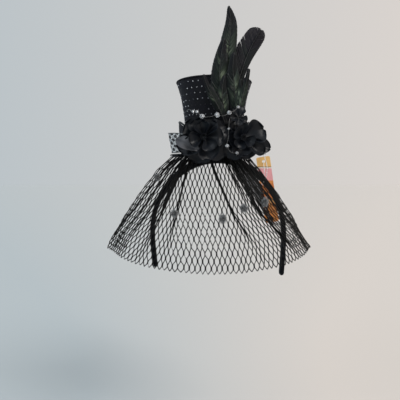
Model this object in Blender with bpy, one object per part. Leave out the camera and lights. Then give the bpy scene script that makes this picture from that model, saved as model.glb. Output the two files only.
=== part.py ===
"""Fascinator headpiece: a mini top hat on a covered headband, with feathers, satin flowers, a dotted
bow, a bead garland and a net veil. Metres, +Z up, -Y is the wearer's front. The origin is the highest
point of the headband's inner face."""

import math

import bmesh
import bpy
from mathutils import Matrix, Vector

MM = 0.001
GAP = 0.3 * MM  # clearance between pieces that touch on the real headpiece

# Headband: an elliptical arch over the head with two nearly straight legs.
BAND_HALF_SPAN = 78.7 * MM
BAND_RISE = 86.0 * MM
BAND_LEAN = math.radians(3.2)  # the arch sits this far round the head, so its middle leans to -X
BAND_TOP_THICKNESS = 8.0 * MM
BAND_LEG_THICKNESS = 4.6 * MM
BAND_TOP_WIDTH = 13.0 * MM
BAND_LEG_WIDTH = 11.0 * MM
BAND_CHAMFER = 1.0 * MM
CORE_WIDTH = 8.0 * MM
CORE_THICKNESS = 1.4 * MM
CORE_CHAMFER = 0.25 * MM
LEG_BEND_RADIUS = 230.0 * MM
LEG_STRAIGHT = 24.0 * MM
LEG_DROP = {"left": 33.0 * MM, "right": 53.0 * MM}  # below the arch's widest level
FLEX_ANGLE = 62.0  # degrees from the top of the ellipse to each arm's flex point
FLEX_GAP = 0.8 * MM
CAP_LENGTH = 4.5 * MM
INNER_TOP_RADIUS = 71.0 * MM  # of the arch's inner face at its top

# Mini top hat.
HAT_X = -5.0 * MM
HAT_SIDES = 28
BASE_PAD_TOP = 16.2 * MM
BASE_PAD_HEIGHT = 7.6 * MM
BASE_PAD_RADII = (36.0 * MM, 30.0 * MM)
BASE_PLATE_RADIUS = 38.5 * MM
BASE_PLATE_THICKNESS = 1.6 * MM
CROWN_PROFILE = ((35.0, 21.0), (34.6, 34.0), (35.0, 50.0), (36.6, 62.7), (39.3, 78.0), (43.8, 93.0))
COVER_THICKNESS = 0.8 * MM
SHELL_THICKNESS = 1.2 * MM
TOP_DISC_RADIUS = 42.4 * MM
PIPING_RADIUS = 1.0 * MM
BRIM_INNER_RADIUS = 37.2 * MM
BRIM_FRONT_RADIUS = 44.0 * MM
BRIM_SIDE_RADIUS = 41.0 * MM
BRIM_LEVEL = 20.0 * MM
BRIM_SIDE_RISE = 26.5 * MM
BRIM_THICKNESS = 1.4 * MM
BRIM_BINDING_RADIUS = 1.1 * MM

# Feathers.
FEATHER_THICKNESS = 0.5 * MM
FEATHER_FOOT = 42.0 * MM
FEATHER_BINDING_HEIGHT = 11.0 * MM
FEATHER_CAMBER = 0.35 * MM

# Net veil.
VEIL_Y = -4.0 * MM
VEIL_THICKNESS = 0.8 * MM
VEIL_TOP = -6.0 * MM
VEIL_HEM = -114.0 * MM
VEIL_COLUMNS = 32
VEIL_ROWS = 6
VEIL_BACK_DEPTH = 45.0 * MM
VEIL_CENTRES = (-12.5, -12.3, -12.0, -11.0, -9.8)  # mm, from the top row to the hem
VEIL_HALF_WIDTHS = (60.0, 79.5, 95.5, 110.0, 121.8)  # mm
VEIL_FRONT_DEPTHS = (44.0, 60.0, 73.0, 85.0, 94.0)  # mm
VEIL_END_ANGLES = (76.0, 80.0, 87.0, 105.0, 120.0)  # degrees round from the front
VEIL_SIDE_LIFT = 14.0 * MM
VEIL_CREASE = 0.30  # how sharply the hem turns at the two sides
VEIL_CREASE_SPREAD = 0.45
GATHER_X = -10.5 * MM
GATHER_LEVEL = 8.0 * MM
GATHER_HALF_WIDTH = 46.0 * MM
GATHER_DEPTH = 34.0 * MM
GATHER_BINDING_RADIUS = 1.6 * MM
GATHER_BINDING_CLEARANCE = 2.2 * MM  # from the binding's centre down to the gathers
GATHER_NET_CLEARANCE = 1.2 * MM  # from the gathers down to the net
VEIL_HINGE = Vector((0.0, -49.0, -5.5)) * MM
DOT_RADIUS = 4.4 * MM
DOT_STAND_OFF = 1.04  # from the net's face to a dot's centre, as a share of its radius
# Chenille dots: place across (-1 to 1) and down (0 to 1) the net.
DOTS = ((-0.665, 0.13), (-0.28, 0.475), (0.063, 0.52), (0.244, 0.425), (0.475, 0.375))

# Flowers, bow and beads.
PETAL_THICKNESS = 0.6 * MM
PETAL_SIDES = 20
PETAL_CREST = 0.13  # how far a petal's tip reaches past the ring's mean radius, as a share of it
CLUSTER_BACK = -54.5 * MM  # the plane behind the flowers
FLOWER_STEP = 1.6 * MM  # from one ring of petals to the next
BUD_FORWARD = 5.4 * MM
BUD_RADIUS = 3.4 * MM
BUD_LENGTH = 6.0 * MM
ROSETTE_FORWARD = 9.0 * MM
BOW_HEIGHT = 22.0 * MM
BOW_THICKNESS = 0.5 * MM
BOW_LOOP_DEPTH = 2.0 * MM  # half the opening of a loop
BOW_TAIL_CAMBER = 0.6 * MM
BOW_KNOT_RADII = (2.6 * MM, 2.0 * MM)
BOW_KNOT = Vector((-5.0, -51.6, 15.5)) * MM  # the knot's foot
# The bow's long tail, in mm, down just in front of the right arm, and its half widths along it.
BOW_TAIL = ((20.0, -22.0, 5.0), (30.0, -14.0, -12.0), (43.0, -9.8, -28.0), (51.0, -9.4, -45.0),
            (58.0, -9.4, -60.0), (65.0, -9.4, -73.0))
BOW_TAIL_HALF_WIDTHS = (4.0, 6.5, 7.0, 6.0, 4.0, 2.5)
THREAD_RADIUS = 0.35 * MM
BEAD_HOLE_RADIUS = 1.1 * MM

# Hang tag.
TAG_WIDTH = 17.5 * MM
TAG_HEIGHT = 84.0 * MM
TAG_THICKNESS = 0.6 * MM
TAG_TOP = 9.5 * MM
TAG_TILT = math.radians(-8.5)  # it hangs with its foot out to +X
TAG_PIVOT = Vector((61.0, 34.0, 3.5)) * MM
TAG_HOLE_RADIUS = 2.0 * MM
TAG_LOOP_RADIUS = 0.45 * MM
TAG_CORNER_RADIUS = 2.0 * MM
# The nylon loop, in mm: round the headband, up over the card's top edge and back through its hole.
TAG_LOOP = ((51.5, 0.0, -28.0), (52.5, -8.0, -25.0), (56.5, -9.5, -14.0), (58.0, -4.0, -3.0),
            (58.5, 12.0, 7.0), (60.0, 28.0, 12.5), (61.0, 36.0, 12.5), (61.0, 38.5, 7.5), (61.0, 34.0, 3.5),
            (59.8, 26.0, -1.0), (58.0, 12.0, -10.0), (55.5, 9.5, -21.0))

# Colour, roughness and metallic value of each material.
FINISHES = {
    "black_velvet": ((0.010, 0.011, 0.014, 1.0), 0.95, 0.0),
    "band_core": ((0.020, 0.020, 0.022, 1.0), 0.45, 0.0),
    "hat_fabric": ((0.008, 0.009, 0.012, 1.0), 0.85, 0.0),
    "buckram": ((0.030, 0.030, 0.032, 1.0), 0.90, 0.0),
    "felt": ((0.012, 0.012, 0.014, 1.0), 1.00, 0.0),
    "feather": ((0.014, 0.022, 0.018, 1.0), 0.45, 0.0),
    "satin": ((0.012, 0.013, 0.018, 1.0), 0.35, 0.0),
    "net": ((0.006, 0.006, 0.008, 1.0), 0.60, 0.0),
    "dotted_sheer": ((0.380, 0.400, 0.420, 1.0), 0.40, 0.0),
    "chenille": ((0.160, 0.170, 0.180, 1.0), 0.60, 0.0),
    "clear_bead": ((0.750, 0.780, 0.800, 1.0), 0.08, 0.0),
    "silver_thread": ((0.600, 0.620, 0.640, 1.0), 0.30, 1.0),
    "tag_card": ((0.720, 0.300, 0.090, 1.0), 0.50, 0.0),
    "tag_nylon": ((0.800, 0.800, 0.780, 1.0), 0.35, 0.0),
}


def clear_scene():
    for obj in list(bpy.data.objects):
        bpy.data.objects.remove(obj)


def material(name):
    """The named Principled material, made the first time it is asked for."""
    found = bpy.data.materials.get(name)
    if found:
        return found
    colour, roughness, metallic = FINISHES[name]
    made = bpy.data.materials.new(name)
    made.use_nodes = True
    shader = made.node_tree.nodes["Principled BSDF"]
    shader.inputs["Base Color"].default_value = colour
    shader.inputs["Roughness"].default_value = roughness
    shader.inputs["Metallic"].default_value = metallic
    made.diffuse_color = colour
    return made


def place(obj, finish, at, pivot):
    """Links an object whose mesh is drawn round the point at, under its pivot if it moves."""
    obj.data.materials.append(material(finish))
    bpy.context.scene.collection.objects.link(obj)
    obj.location = at
    if pivot:
        obj.parent = pivot
        obj.location = Vector(at) - pivot.location
    return obj


def pivot_at(name, point):
    """An empty on a joint's axis."""
    pivot = bpy.data.objects.new(name, None)
    pivot.empty_display_size = 0.01
    pivot.location = point
    bpy.context.scene.collection.objects.link(pivot)
    return pivot


def mesh_object(name, bm, finish, at=(0.0, 0.0, 0.0), pivot=None, flat=False):
    """An object from a bmesh in world space, with its origin at the point at."""
    bmesh.ops.recalc_face_normals(bm, faces=bm.faces)
    bmesh.ops.translate(bm, verts=bm.verts, vec=-Vector(at))
    mesh = bpy.data.meshes.new(name)
    bm.to_mesh(mesh)
    bm.free()
    if not flat:
        mesh.shade_smooth()
        mesh.set_sharp_from_angle(angle=math.radians(40))
    return place(bpy.data.objects.new(name, mesh), finish, at, pivot)


def skin(rows, wrap_rows=False, wrap_columns=False, caps=False):
    """Quads between neighbouring rows of points. Wrapped columns make each row a ring."""
    bm = bmesh.new()
    verts = [[bm.verts.new(point) for point in row] for row in rows]
    row_count, column_count = len(verts), len(verts[0])
    for i in range(row_count if wrap_rows else row_count - 1):
        for j in range(column_count if wrap_columns else column_count - 1):
            here, below = verts[i], verts[(i + 1) % row_count]
            after = (j + 1) % column_count
            bm.faces.new((here[j], here[after], below[after], below[j]))
    if caps:
        bm.faces.new(verts[0])
        bm.faces.new(verts[-1])
    return bm


def sheet(name, rows, finish, thickness, at=(0.0, 0.0, 0.0), pivot=None, wrap_columns=False):
    """A thin closed body: a surface through rows of points, thickened to both sides."""
    obj = mesh_object(name, skin(rows, wrap_columns=wrap_columns), finish, at, pivot)
    solid = obj.modifiers.new("thickness", "SOLIDIFY")
    solid.thickness = thickness
    solid.offset = 0.0
    return obj


def tube(name, points, radius, finish, closed=False, at=(0.0, 0.0, 0.0), pivot=None, resolution=0):
    """A round cord along the points, with filled ends."""
    curve = bpy.data.curves.new(name, "CURVE")
    curve.dimensions = "3D"
    spline = curve.splines.new("POLY")
    spline.points.add(len(points) - 1)
    for target, point in zip(spline.points, points):
        target.co = (*(Vector(point) - Vector(at)), 1.0)
    spline.use_cyclic_u = closed
    curve.bevel_depth = radius
    curve.bevel_resolution = resolution
    curve.use_fill_caps = not closed
    return place(bpy.data.objects.new(name, curve), finish, at, pivot)


def catmull_rom(a, b, c, d, t):
    return 0.5 * (2 * b + (c - a) * t + (2 * a - 5 * b + 4 * c - d) * t**2 + (3 * b - a - 3 * c + d) * t**3)


def smooth_path(guides, steps, closed=False):
    """A smooth curve through guide points, with a number of steps between neighbours."""
    guides = [Vector(g) for g in guides]
    count = len(guides)
    if closed:
        spans = [[guides[(i + k) % count] for k in (-1, 0, 1, 2)] for i in range(count)]
    else:
        padded = [2 * guides[0] - guides[1], *guides, 2 * guides[-1] - guides[-2]]
        spans = [padded[i : i + 4] for i in range(count - 1)]
    points = [catmull_rom(*span, step / steps) for span in spans for step in range(steps)]
    return points if closed else [*points, guides[-1]]


def profile_value(values, share):
    """A smooth value read from evenly spaced ones, share running from 0 to 1."""
    path = smooth_path([(v, 0.0, 0.0) for v in values], 8)
    place_on_path = share * (len(path) - 1)
    low = min(int(place_on_path), len(path) - 2)
    return path[low].lerp(path[low + 1], place_on_path - low).x


def smoothstep(low, high, value):
    share = min(max((value - low) / (high - low), 0.0), 1.0)
    return share * share * (3 - 2 * share)


# ---------------------------------------------------------------- headband


def lean(point):
    """Turns a point of the upright arch about its top circle's centre, which keeps the top level."""
    centre = Vector((0.0, 0.0, -INNER_TOP_RADIUS))
    return centre + Matrix.Rotation(-BAND_LEAN, 3, "Y") @ (Vector(point) - centre)


def band_centre(side, along):
    """A point of the band's centreline: along is degrees of the ellipse, then metres down the leg."""
    sign = -1 if side == "left" else 1
    kind, value = along
    top = BAND_TOP_THICKNESS / 2
    if kind == "arch":
        angle = math.radians(value)
        x, z = BAND_HALF_SPAN * math.sin(angle), top - BAND_RISE * (1 - math.cos(angle))
    else:
        bend = LEG_DROP[side] - LEG_STRAIGHT
        curved = min(value, bend)
        inward = curved**2 / (2 * LEG_BEND_RADIUS) + (value - curved) * bend / LEG_BEND_RADIUS
        x, z = BAND_HALF_SPAN - inward, top - BAND_RISE - value
    return lean((sign * x, 0.0, z))


def band_sizes(along):
    """The band's width and thickness at a station."""
    kind, value = along
    slim = smoothstep(28.0, 74.0, value if kind == "arch" else 90.0)
    width = BAND_TOP_WIDTH + (BAND_LEG_WIDTH - BAND_TOP_WIDTH) * slim
    return width, BAND_TOP_THICKNESS + (BAND_LEG_THICKNESS - BAND_TOP_THICKNESS) * slim


def arm_stations(side):
    angles = [("arch", a) for a in (62.0, 67.0, 72.0, 78.0, 84.0, 90.0)]
    bend = LEG_DROP[side] - LEG_STRAIGHT
    drops = [("leg", bend * 0.5), ("leg", bend), ("leg", LEG_DROP[side])]
    return angles + drops


def frames(points):
    """Each point of a path in the XZ plane with its direction and outward normal."""
    result = []
    for i, point in enumerate(points):
        ahead = points[min(i + 1, len(points) - 1)]
        behind = points[max(i - 1, 0)]
        direction = (ahead - behind).normalized()
        normal = Vector((0.0, 1.0, 0.0)).cross(direction)
        result.append((point, direction, normal))
    return result


def section(frame, width, thickness, chamfer):
    """An octagonal band section: a rectangle with its corners cut."""
    point, _, normal = frame
    w, t, c = width / 2, thickness / 2, chamfer
    outside = ((w, t - c), (w - c, t), (c - w, t), (-w, t - c))
    outline = outside + tuple((-u, -v) for u, v in outside)
    across = Vector((0.0, 1.0, 0.0))
    return [point + across * u + normal * v for u, v in outline]


def trimmed(points, start, end):
    """A path with its two ends moved inwards by a distance."""
    first = points[0] + (points[1] - points[0]).normalized() * start
    last = points[-1] + (points[-2] - points[-1]).normalized() * end
    return [first, *points[1:-1], last]


def band_piece(label, points, sizes, pivot):
    """The plastic core and the covered sleeve round it, along one stretch of the band."""
    path = frames(points)
    outer = [section(f, w, t, BAND_CHAMFER) for f, (w, t) in zip(path, sizes)]
    bore = (CORE_WIDTH + 2 * GAP, CORE_THICKNESS + 2 * GAP)
    inner = [section(f, *bore, CORE_CHAMFER) for f in path]
    at = points[0] if pivot is None else pivot.location
    sleeve = skin(outer + inner[::-1], wrap_rows=True, wrap_columns=True)
    mesh_object(label + "_sleeve", sleeve, "black_velvet", at, pivot, flat=True)
    core = [section(f, CORE_WIDTH, CORE_THICKNESS, CORE_CHAMFER) for f in path]
    core_mesh = skin(core, wrap_columns=True, caps=True)
    mesh_object(label + "_core", core_mesh, "band_core", at, pivot, flat=True)


def tip_cap(side, points, pivot):
    """A padded end that closes the sleeve below the core."""
    direction = (points[-1] - points[-2]).normalized()
    normal = Vector((0.0, 1.0, 0.0)).cross(direction)
    rows = []
    for share, scale in ((0.0, 1.0), (0.45, 0.96), (0.8, 0.78), (1.0, 0.45)):
        centre = points[-1] + direction * (GAP + CAP_LENGTH * share)
        sizes = (BAND_LEG_WIDTH * scale, BAND_LEG_THICKNESS * scale, BAND_CHAMFER * scale)
        rows.append(section((centre, direction, normal), *sizes))
    cap = skin(rows, wrap_columns=True, caps=True)
    mesh_object(side + "_tip_cap", cap, "black_velvet", pivot.location, pivot, flat=True)


def build_headband():
    arch_angles = [FLEX_ANGLE * k / 9 for k in range(9, 0, -1)]
    left = [band_centre("left", ("arch", a)) for a in arch_angles]
    right = [band_centre("right", ("arch", a)) for a in reversed(arch_angles)]
    top = [band_centre("right", ("arch", 0.0))]
    arch_sizes = [band_sizes(("arch", a)) for a in arch_angles]
    sizes = [*arch_sizes, band_sizes(("arch", 0.0)), *reversed(arch_sizes)]
    points = trimmed(left + top + right, FLEX_GAP / 2, FLEX_GAP / 2)
    band_piece("band_arch", points, sizes, None)
    for side in ("left", "right"):
        pivot = pivot_at(side + "_arm_pivot", band_centre(side, ("arch", FLEX_ANGLE)))
        stations = arm_stations(side)
        arm = trimmed([band_centre(side, s) for s in stations], FLEX_GAP / 2, 0.0)
        band_piece(side + "_arm", arm, [band_sizes(s) for s in stations], pivot)
        tip_cap(side, arm, pivot)


# ---------------------------------------------------------------- hat


def ring(radius_x, radius_y, z, count=HAT_SIDES, centre=(HAT_X, 0.0)):
    step = 2 * math.pi / count
    cx, cy = centre
    return [
        Vector((cx + radius_x * math.cos(i * step), cy + radius_y * math.sin(i * step), z))
        for i in range(count)
    ]


def slab(name, radii, low, high, finish, count=HAT_SIDES):
    """A flat oval plate under or on the hat."""
    rows = [ring(*radii, low, count), ring(*radii, high, count)]
    at = (HAT_X, 0.0, low)
    return mesh_object(name, skin(rows, wrap_columns=True, caps=True), finish, at, flat=True)


def build_hat():
    pad_low = BASE_PAD_TOP - BASE_PAD_HEIGHT
    slab("felt_base_pad", BASE_PAD_RADII, pad_low, BASE_PAD_TOP, "felt")
    plate_low = BASE_PAD_TOP + GAP
    plate_high = plate_low + BASE_PLATE_THICKNESS
    slab("hat_base_plate", (BASE_PLATE_RADIUS,) * 2, plate_low, plate_high, "buckram")

    profile = [(r * MM, z * MM) for r, z in CROWN_PROFILE]
    at = (HAT_X, 0.0, profile[0][1])
    outside = [ring(r, r, z) for r, z in profile]
    inside = [ring(r - COVER_THICKNESS, r - COVER_THICKNESS, z) for r, z in profile]
    cover = skin(outside + inside[::-1], wrap_rows=True, wrap_columns=True)
    mesh_object("crown_cover", cover, "hat_fabric", at)

    # The stiff shell is a cup, open at its foot, with a flat top under the fabric disc.
    inset = COVER_THICKNESS + GAP
    shell = [(r - inset, z) for r, z in profile]
    wall = [ring(r, r, z) for r, z in shell]
    under = [ring(r - SHELL_THICKNESS, r - SHELL_THICKNESS, z) for r, z in shell[:-1]]
    top_r, top_z = shell[-1]
    under.append(ring(top_r - 2 * SHELL_THICKNESS, top_r - 2 * SHELL_THICKNESS, top_z - SHELL_THICKNESS))
    cup = skin(wall[::-1] + under, wrap_columns=True, caps=True)
    mesh_object("crown_shell", cup, "buckram", at)

    disc_low = top_z + GAP
    disc_high = disc_low + COVER_THICKNESS
    slab("crown_top_disc", (TOP_DISC_RADIUS,) * 2, disc_low, disc_high, "hat_fabric")
    piping_ring = TOP_DISC_RADIUS + GAP + PIPING_RADIUS
    piping = ring(piping_ring, piping_ring, top_z + GAP + PIPING_RADIUS)
    tube("crown_top_piping", piping, PIPING_RADIUS, "hat_fabric", closed=True, at=at, resolution=1)

    def brim_edge(angle, share):
        side = abs(math.cos(angle)) ** 1.5
        reach = BRIM_FRONT_RADIUS + (BRIM_SIDE_RADIUS - BRIM_FRONT_RADIUS) * side
        radius = BRIM_INNER_RADIUS + (reach - BRIM_INNER_RADIUS) * math.sin(share * math.pi / 2)
        height = BRIM_LEVEL + BRIM_SIDE_RISE * side * share**1.4
        return Vector((HAT_X + radius * math.cos(angle), radius * math.sin(angle), height))

    angles = [2 * math.pi * i / HAT_SIDES for i in range(HAT_SIDES)]
    rows = [[brim_edge(a, share) for a in angles] for share in (0.0, 0.4, 0.75, 1.0)]
    sheet("hat_brim", rows, "hat_fabric", BRIM_THICKNESS, at=(HAT_X, 0.0, BRIM_LEVEL), wrap_columns=True)
    edge = []
    for angle in angles:
        rim, before = brim_edge(angle, 1.0), brim_edge(angle, 0.9)
        outward = (rim - before).normalized()
        edge.append(rim + outward * (GAP + 1.15 * BRIM_BINDING_RADIUS))
    tube("hat_brim_binding", edge, BRIM_BINDING_RADIUS, "satin", closed=True, at=at, resolution=1)


# ---------------------------------------------------------------- feathers

# Each feather: shaft guides (x, z) in mm from its foot to its tip, half widths in mm along it, layer.
FEATHERS = {
    "rounded_feather": (((11.0, 42.0), (15.0, 70.0), (23.0, 100.0), (33.0, 125.0), (42.5, 142.5)),
                        (0.7, 3.0, 7.0, 9.5, 9.6, 7.0), 0),
    "tall_feather": (((9.0, 42.0), (8.0, 75.0), (9.0, 110.0), (10.0, 145.0), (5.6, 167.3)),
                     (0.7, 5.0, 9.0, 8.0, 6.6, 1.0), 1),
    "broad_feather": (((7.0, 42.0), (2.0, 65.0), (-3.0, 90.0), (-1.0, 115.0), (2.5, 133.0)),
                      (0.7, 6.0, 9.5, 9.0, 6.0, 1.0), 2),
    "middle_feather": (((13.0, 42.0), (14.0, 60.0), (13.0, 80.0), (11.0, 100.0), (12.0, 116.0)),
                       (0.7, 4.5, 7.0, 7.5, 5.0, 0.8), 3),
    "short_feather": (((5.0, 42.0), (2.0, 55.0), (0.0, 68.0), (0.0, 80.0), (2.0, 92.0)),
                      (0.7, 3.5, 6.0, 5.5, 3.5, 0.7), 4),
    "right_hackle": (((15.0, 42.0), (17.0, 54.0), (18.5, 67.0), (20.0, 78.0), (19.0, 88.0)),
                     (0.7, 3.0, 4.5, 4.5, 3.0, 0.6), 5),
    "outer_hackle": (((17.0, 42.0), (19.0, 56.0), (22.0, 71.0), (25.0, 85.0), (27.5, 98.0)),
                     (0.7, 2.2, 3.2, 3.2, 2.0, 0.6), 6),
    "left_hackle": (((3.0, 42.0), (-2.0, 54.0), (-9.0, 66.0), (-16.0, 78.0), (-21.5, 91.5)),
                    (0.7, 3.0, 4.6, 4.6, 3.2, 0.6), 7),
}
FEATHER_JOINTS = {"tall_feather", "rounded_feather"}
FEATHER_HINGE = Vector((10.0, -46.0, 44.0)) * MM


def feather_depth(layer, z):
    """How far forward a feather of a layer stands at a height: the layers fan out as they rise."""
    return (-45.2 - 0.8 * layer) * MM - (0.05 + 0.025 * layer) * (z - FEATHER_FOOT)


def build_feathers():
    for name, (guides, half_widths, layer) in FEATHERS.items():
        shaft = smooth_path([(x * MM, 0.0, z * MM) for x, z in guides], 3)
        rows = []
        for i, (point, _, normal) in enumerate(frames(shaft)):
            share = i / (len(shaft) - 1)
            half = profile_value(half_widths, share) * MM
            row = []
            for across in (-1.0, 0.0, 1.0):
                spot = point + normal * half * across
                camber = FEATHER_CAMBER * abs(across) * min(half / (5 * MM), 1.0)
                row.append(Vector((spot.x, feather_depth(layer, spot.z) + camber, spot.z)))
            rows.append(row)
        pivot = None
        if name in FEATHER_JOINTS:
            pivot = pivot_at(name + "_pivot", FEATHER_HINGE)
        at = FEATHER_HINGE if pivot else rows[0][1]
        sheet(name, rows, "feather", FEATHER_THICKNESS, at, pivot)
    centre = Vector((10.0, -48.2, 0.0)) * MM
    high = FEATHER_FOOT - 0.8 * MM
    rows = [
        ring(radius * 1.5 * MM, radius * 0.7 * MM, z, 12, (centre.x, centre.y))
        for radius, z in ((3.6, high - FEATHER_BINDING_HEIGHT), (5.6, high - 3 * MM), (5.9, high))
    ]
    at = (centre.x, centre.y, high)
    mesh_object("feather_binding", skin(rows, wrap_columns=True, caps=True), "satin", at)


# ---------------------------------------------------------------- flowers


def petal_layer(name, centre, axis, radius, hole, lift, lobes, phase):
    """One ring of petals as a lobed cup that opens along the axis, with an eyelet at its centre."""
    axis = Vector(axis).normalized()
    side = axis.cross(Vector((0.0, 0.0, 1.0))).normalized()
    up = side.cross(axis)
    rows = []
    for share in (0.0, 0.5, 1.0):
        row = []
        for i in range(PETAL_SIDES):
            angle = 2 * math.pi * i / PETAL_SIDES
            lobe = 1 + PETAL_CREST * share * math.cos(lobes * angle + phase)
            reach = (hole + (radius - hole) * share) * lobe
            rise = lift * share**1.6
            row.append(centre + axis * rise + (side * math.cos(angle) + up * math.sin(angle)) * reach)
        rows.append(row)
    sheet(name, rows, "satin", PETAL_THICKNESS, at=centre, wrap_columns=True)


def bud(name, centre, axis, radius, length):
    """The rolled heart of a flower."""
    axis = Vector(axis).normalized()
    side = axis.cross(Vector((0.0, 0.0, 1.0))).normalized()
    up = side.cross(axis)
    rows = []
    for share, scale in ((0.0, 0.55), (0.3, 1.0), (0.7, 0.95), (1.0, 0.55)):
        row = []
        for i in range(8):
            angle = 2 * math.pi * i / 8 + share
            spoke = side * math.cos(angle) + up * math.sin(angle)
            row.append(centre + axis * length * share + spoke * radius * scale)
        rows.append(row)
    mesh_object(name, skin(rows, wrap_columns=True, caps=True), "satin", at=centre)


# Each flower: centre (x, z) in mm, axis, outer radius in mm, number of petals.
FLOWERS = {
    "left_flower": ((-25.0, 27.0), (-0.12, -1.0, 0.05), 25.0, 5),
    "right_flower": ((26.5, 29.0), (0.15, -1.0, 0.02), 20.5, 5),
}
ROSETTE = ((18.0, 51.0), (0.1, -1.0, 0.35), 8.2, 4)


def build_flowers():
    for name, ((x, z), axis, radius, lobes) in FLOWERS.items():
        centre = Vector((x * MM, CLUSTER_BACK - 2 * FLOWER_STEP, z * MM))
        axis = Vector(axis).normalized()
        layers = (("outer", 1.0, 2.5, 0.10, 0.0), ("middle", 0.78, 2.2, 0.26, 1.9),
                  ("inner", 0.5, 1.9, 0.36, 0.6))
        for step, (layer, share, hole, cup, phase) in enumerate(layers):
            foot = centre + axis * step * FLOWER_STEP
            reach = radius * share * MM
            petal_layer(f"{name}_{layer}_petals", foot, axis, reach, hole * MM, cup * reach, lobes, phase)
        bud(f"{name}_bud", centre + axis * BUD_FORWARD, axis, BUD_RADIUS, BUD_LENGTH)
    (x, z), axis, radius, lobes = ROSETTE
    centre = Vector((x * MM, CLUSTER_BACK - ROSETTE_FORWARD, z * MM))
    petal_layer("rosette_petals", centre, axis, radius * MM, 1.6 * MM, 2.2 * MM, lobes, 0.5)


# ---------------------------------------------------------------- bow


def bow_loop(name, root, tip):
    """A flattened ribbon loop between the knot and its outer end, open at the knot."""
    root, tip = Vector(root) * MM, Vector(tip) * MM
    middle, reach = (root + tip) / 2, (tip - root) / 2
    sideways = Vector((0.0, 0.0, 1.0)).cross(reach).normalized() * BOW_LOOP_DEPTH
    rows = []
    for step in range(15):
        angle = math.radians(-152 + 304 * step / 14)
        point = middle + reach * math.cos(angle) + sideways * math.sin(angle)
        spread = 0.42 + 0.58 * smoothstep(-1.0, 0.9, math.cos(angle))
        rows.append([point + Vector((0.0, 0.0, BOW_HEIGHT / 2 * spread * e)) for e in (-1.0, 0.0, 1.0)])
    sheet(name, rows, "dotted_sheer", BOW_THICKNESS, at=root)


def build_bow():
    bow_loop("left_bow_loop", (-8.5, -51.6, 22.0), (-60.0, -28.0, 21.5))
    bow_loop("right_bow_loop", (-1.5, -51.6, 22.0), (55.5, -27.0, 20.5))
    width, depth = BOW_KNOT_RADII
    rows = [
        ring(width * scale, depth * scale, BOW_KNOT.z + rise * MM, 8, BOW_KNOT.xy)
        for scale, rise in ((0.8, 0.0), (1.0, 2.5), (1.0, 10.5), (0.8, 13.0))
    ]
    mesh_object("bow_knot", skin(rows, wrap_columns=True, caps=True), "dotted_sheer", BOW_KNOT)
    rows = []
    tail = smooth_path([Vector(g) * MM for g in BOW_TAIL], 3)
    for step, (point, _, normal) in enumerate(frames(tail)):
        half_width = profile_value(BOW_TAIL_HALF_WIDTHS, step / (len(tail) - 1)) * MM
        camber = Vector((0.0, BOW_TAIL_CAMBER, 0.0))
        rows.append([point + normal * half_width * e + camber * abs(e) for e in (-1, 0, 1)])
    sheet("bow_tail", rows, "dotted_sheer", BOW_THICKNESS, at=rows[0][1])


# ---------------------------------------------------------------- beads

# Guides of the two strands of bead thread, in mm.
GARLAND = ((-38.0, -18.0, 58.5), (-37.2, -36.0, 57.3), (-35.6, -54.0, 55.6), (-32.0, -64.5, 52.0),
           (-28.0, -66.0, 51.4), (-22.8, -69.0, 46.3), (-15.3, -71.0, 45.6), (-7.2, -71.5, 47.5),
           (-0.8, -71.0, 46.6), (5.6, -70.0, 50.0), (10.8, -69.0, 52.3), (15.2, -68.0, 56.3))
DROP = ((5.5, -73.5, 44.0), (4.5, -74.0, 33.0), (4.0, -73.5, 23.0), (3.0, -72.0, 15.5), (7.5, -70.0, 9.0),
        (14.0, -68.0, 8.5))
# Each bead: strand, place along its guides, radius in mm.
BEADS = (("garland", 3, 1.7), ("garland", 4, 1.9), ("garland", 5, 2.8), ("garland", 7, 3.2),
         ("garland", 9, 2.6), ("garland", 11, 1.7),
         ("drop", 1, 1.6), ("drop", 3, 2.2), ("drop", 5, 2.0))


def bead(name, centre, direction, radius):
    """A round bead with a hole along the thread."""
    hole = max(BEAD_HOLE_RADIUS, 0.5 * radius)
    outline = []
    for share in (-1.0, -0.5, 0.5, 1.0):
        angle = share * math.acos(hole / radius)
        outline.append((radius * math.cos(angle), radius * math.sin(angle)))
    ends = outline[0][1], outline[-1][1]
    outline += [(hole, ends[1] * 0.5), (hole, ends[0] * 0.5)]
    turn = Vector((0.0, 0.0, 1.0)).rotation_difference(direction).to_matrix()
    rows = []
    for r, z in outline:
        row = []
        for i in range(8):
            angle = math.pi * i / 4
            row.append(centre + turn @ Vector((r * math.cos(angle), r * math.sin(angle), z)))
        rows.append(row)
    mesh_object(name, skin(rows, wrap_rows=True, wrap_columns=True), "clear_bead", at=centre)


def build_beads():
    steps = 4
    strands = {"garland": [Vector(p) * MM for p in GARLAND], "drop": [Vector(p) * MM for p in DROP]}
    paths = {name: smooth_path(guides, steps) for name, guides in strands.items()}
    for name, path in paths.items():
        tube(f"{name}_thread", path, THREAD_RADIUS, "silver_thread", at=path[0])
    for number, (strand, index, radius) in enumerate(BEADS, 1):
        path, spot = paths[strand], index * steps
        ahead = path[min(spot + 1, len(path) - 1)]
        direction = (ahead - path[spot - 1]).normalized()
        bead(f"{strand}_bead_{number}", path[spot], direction, radius * MM)


# ---------------------------------------------------------------- veil


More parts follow.
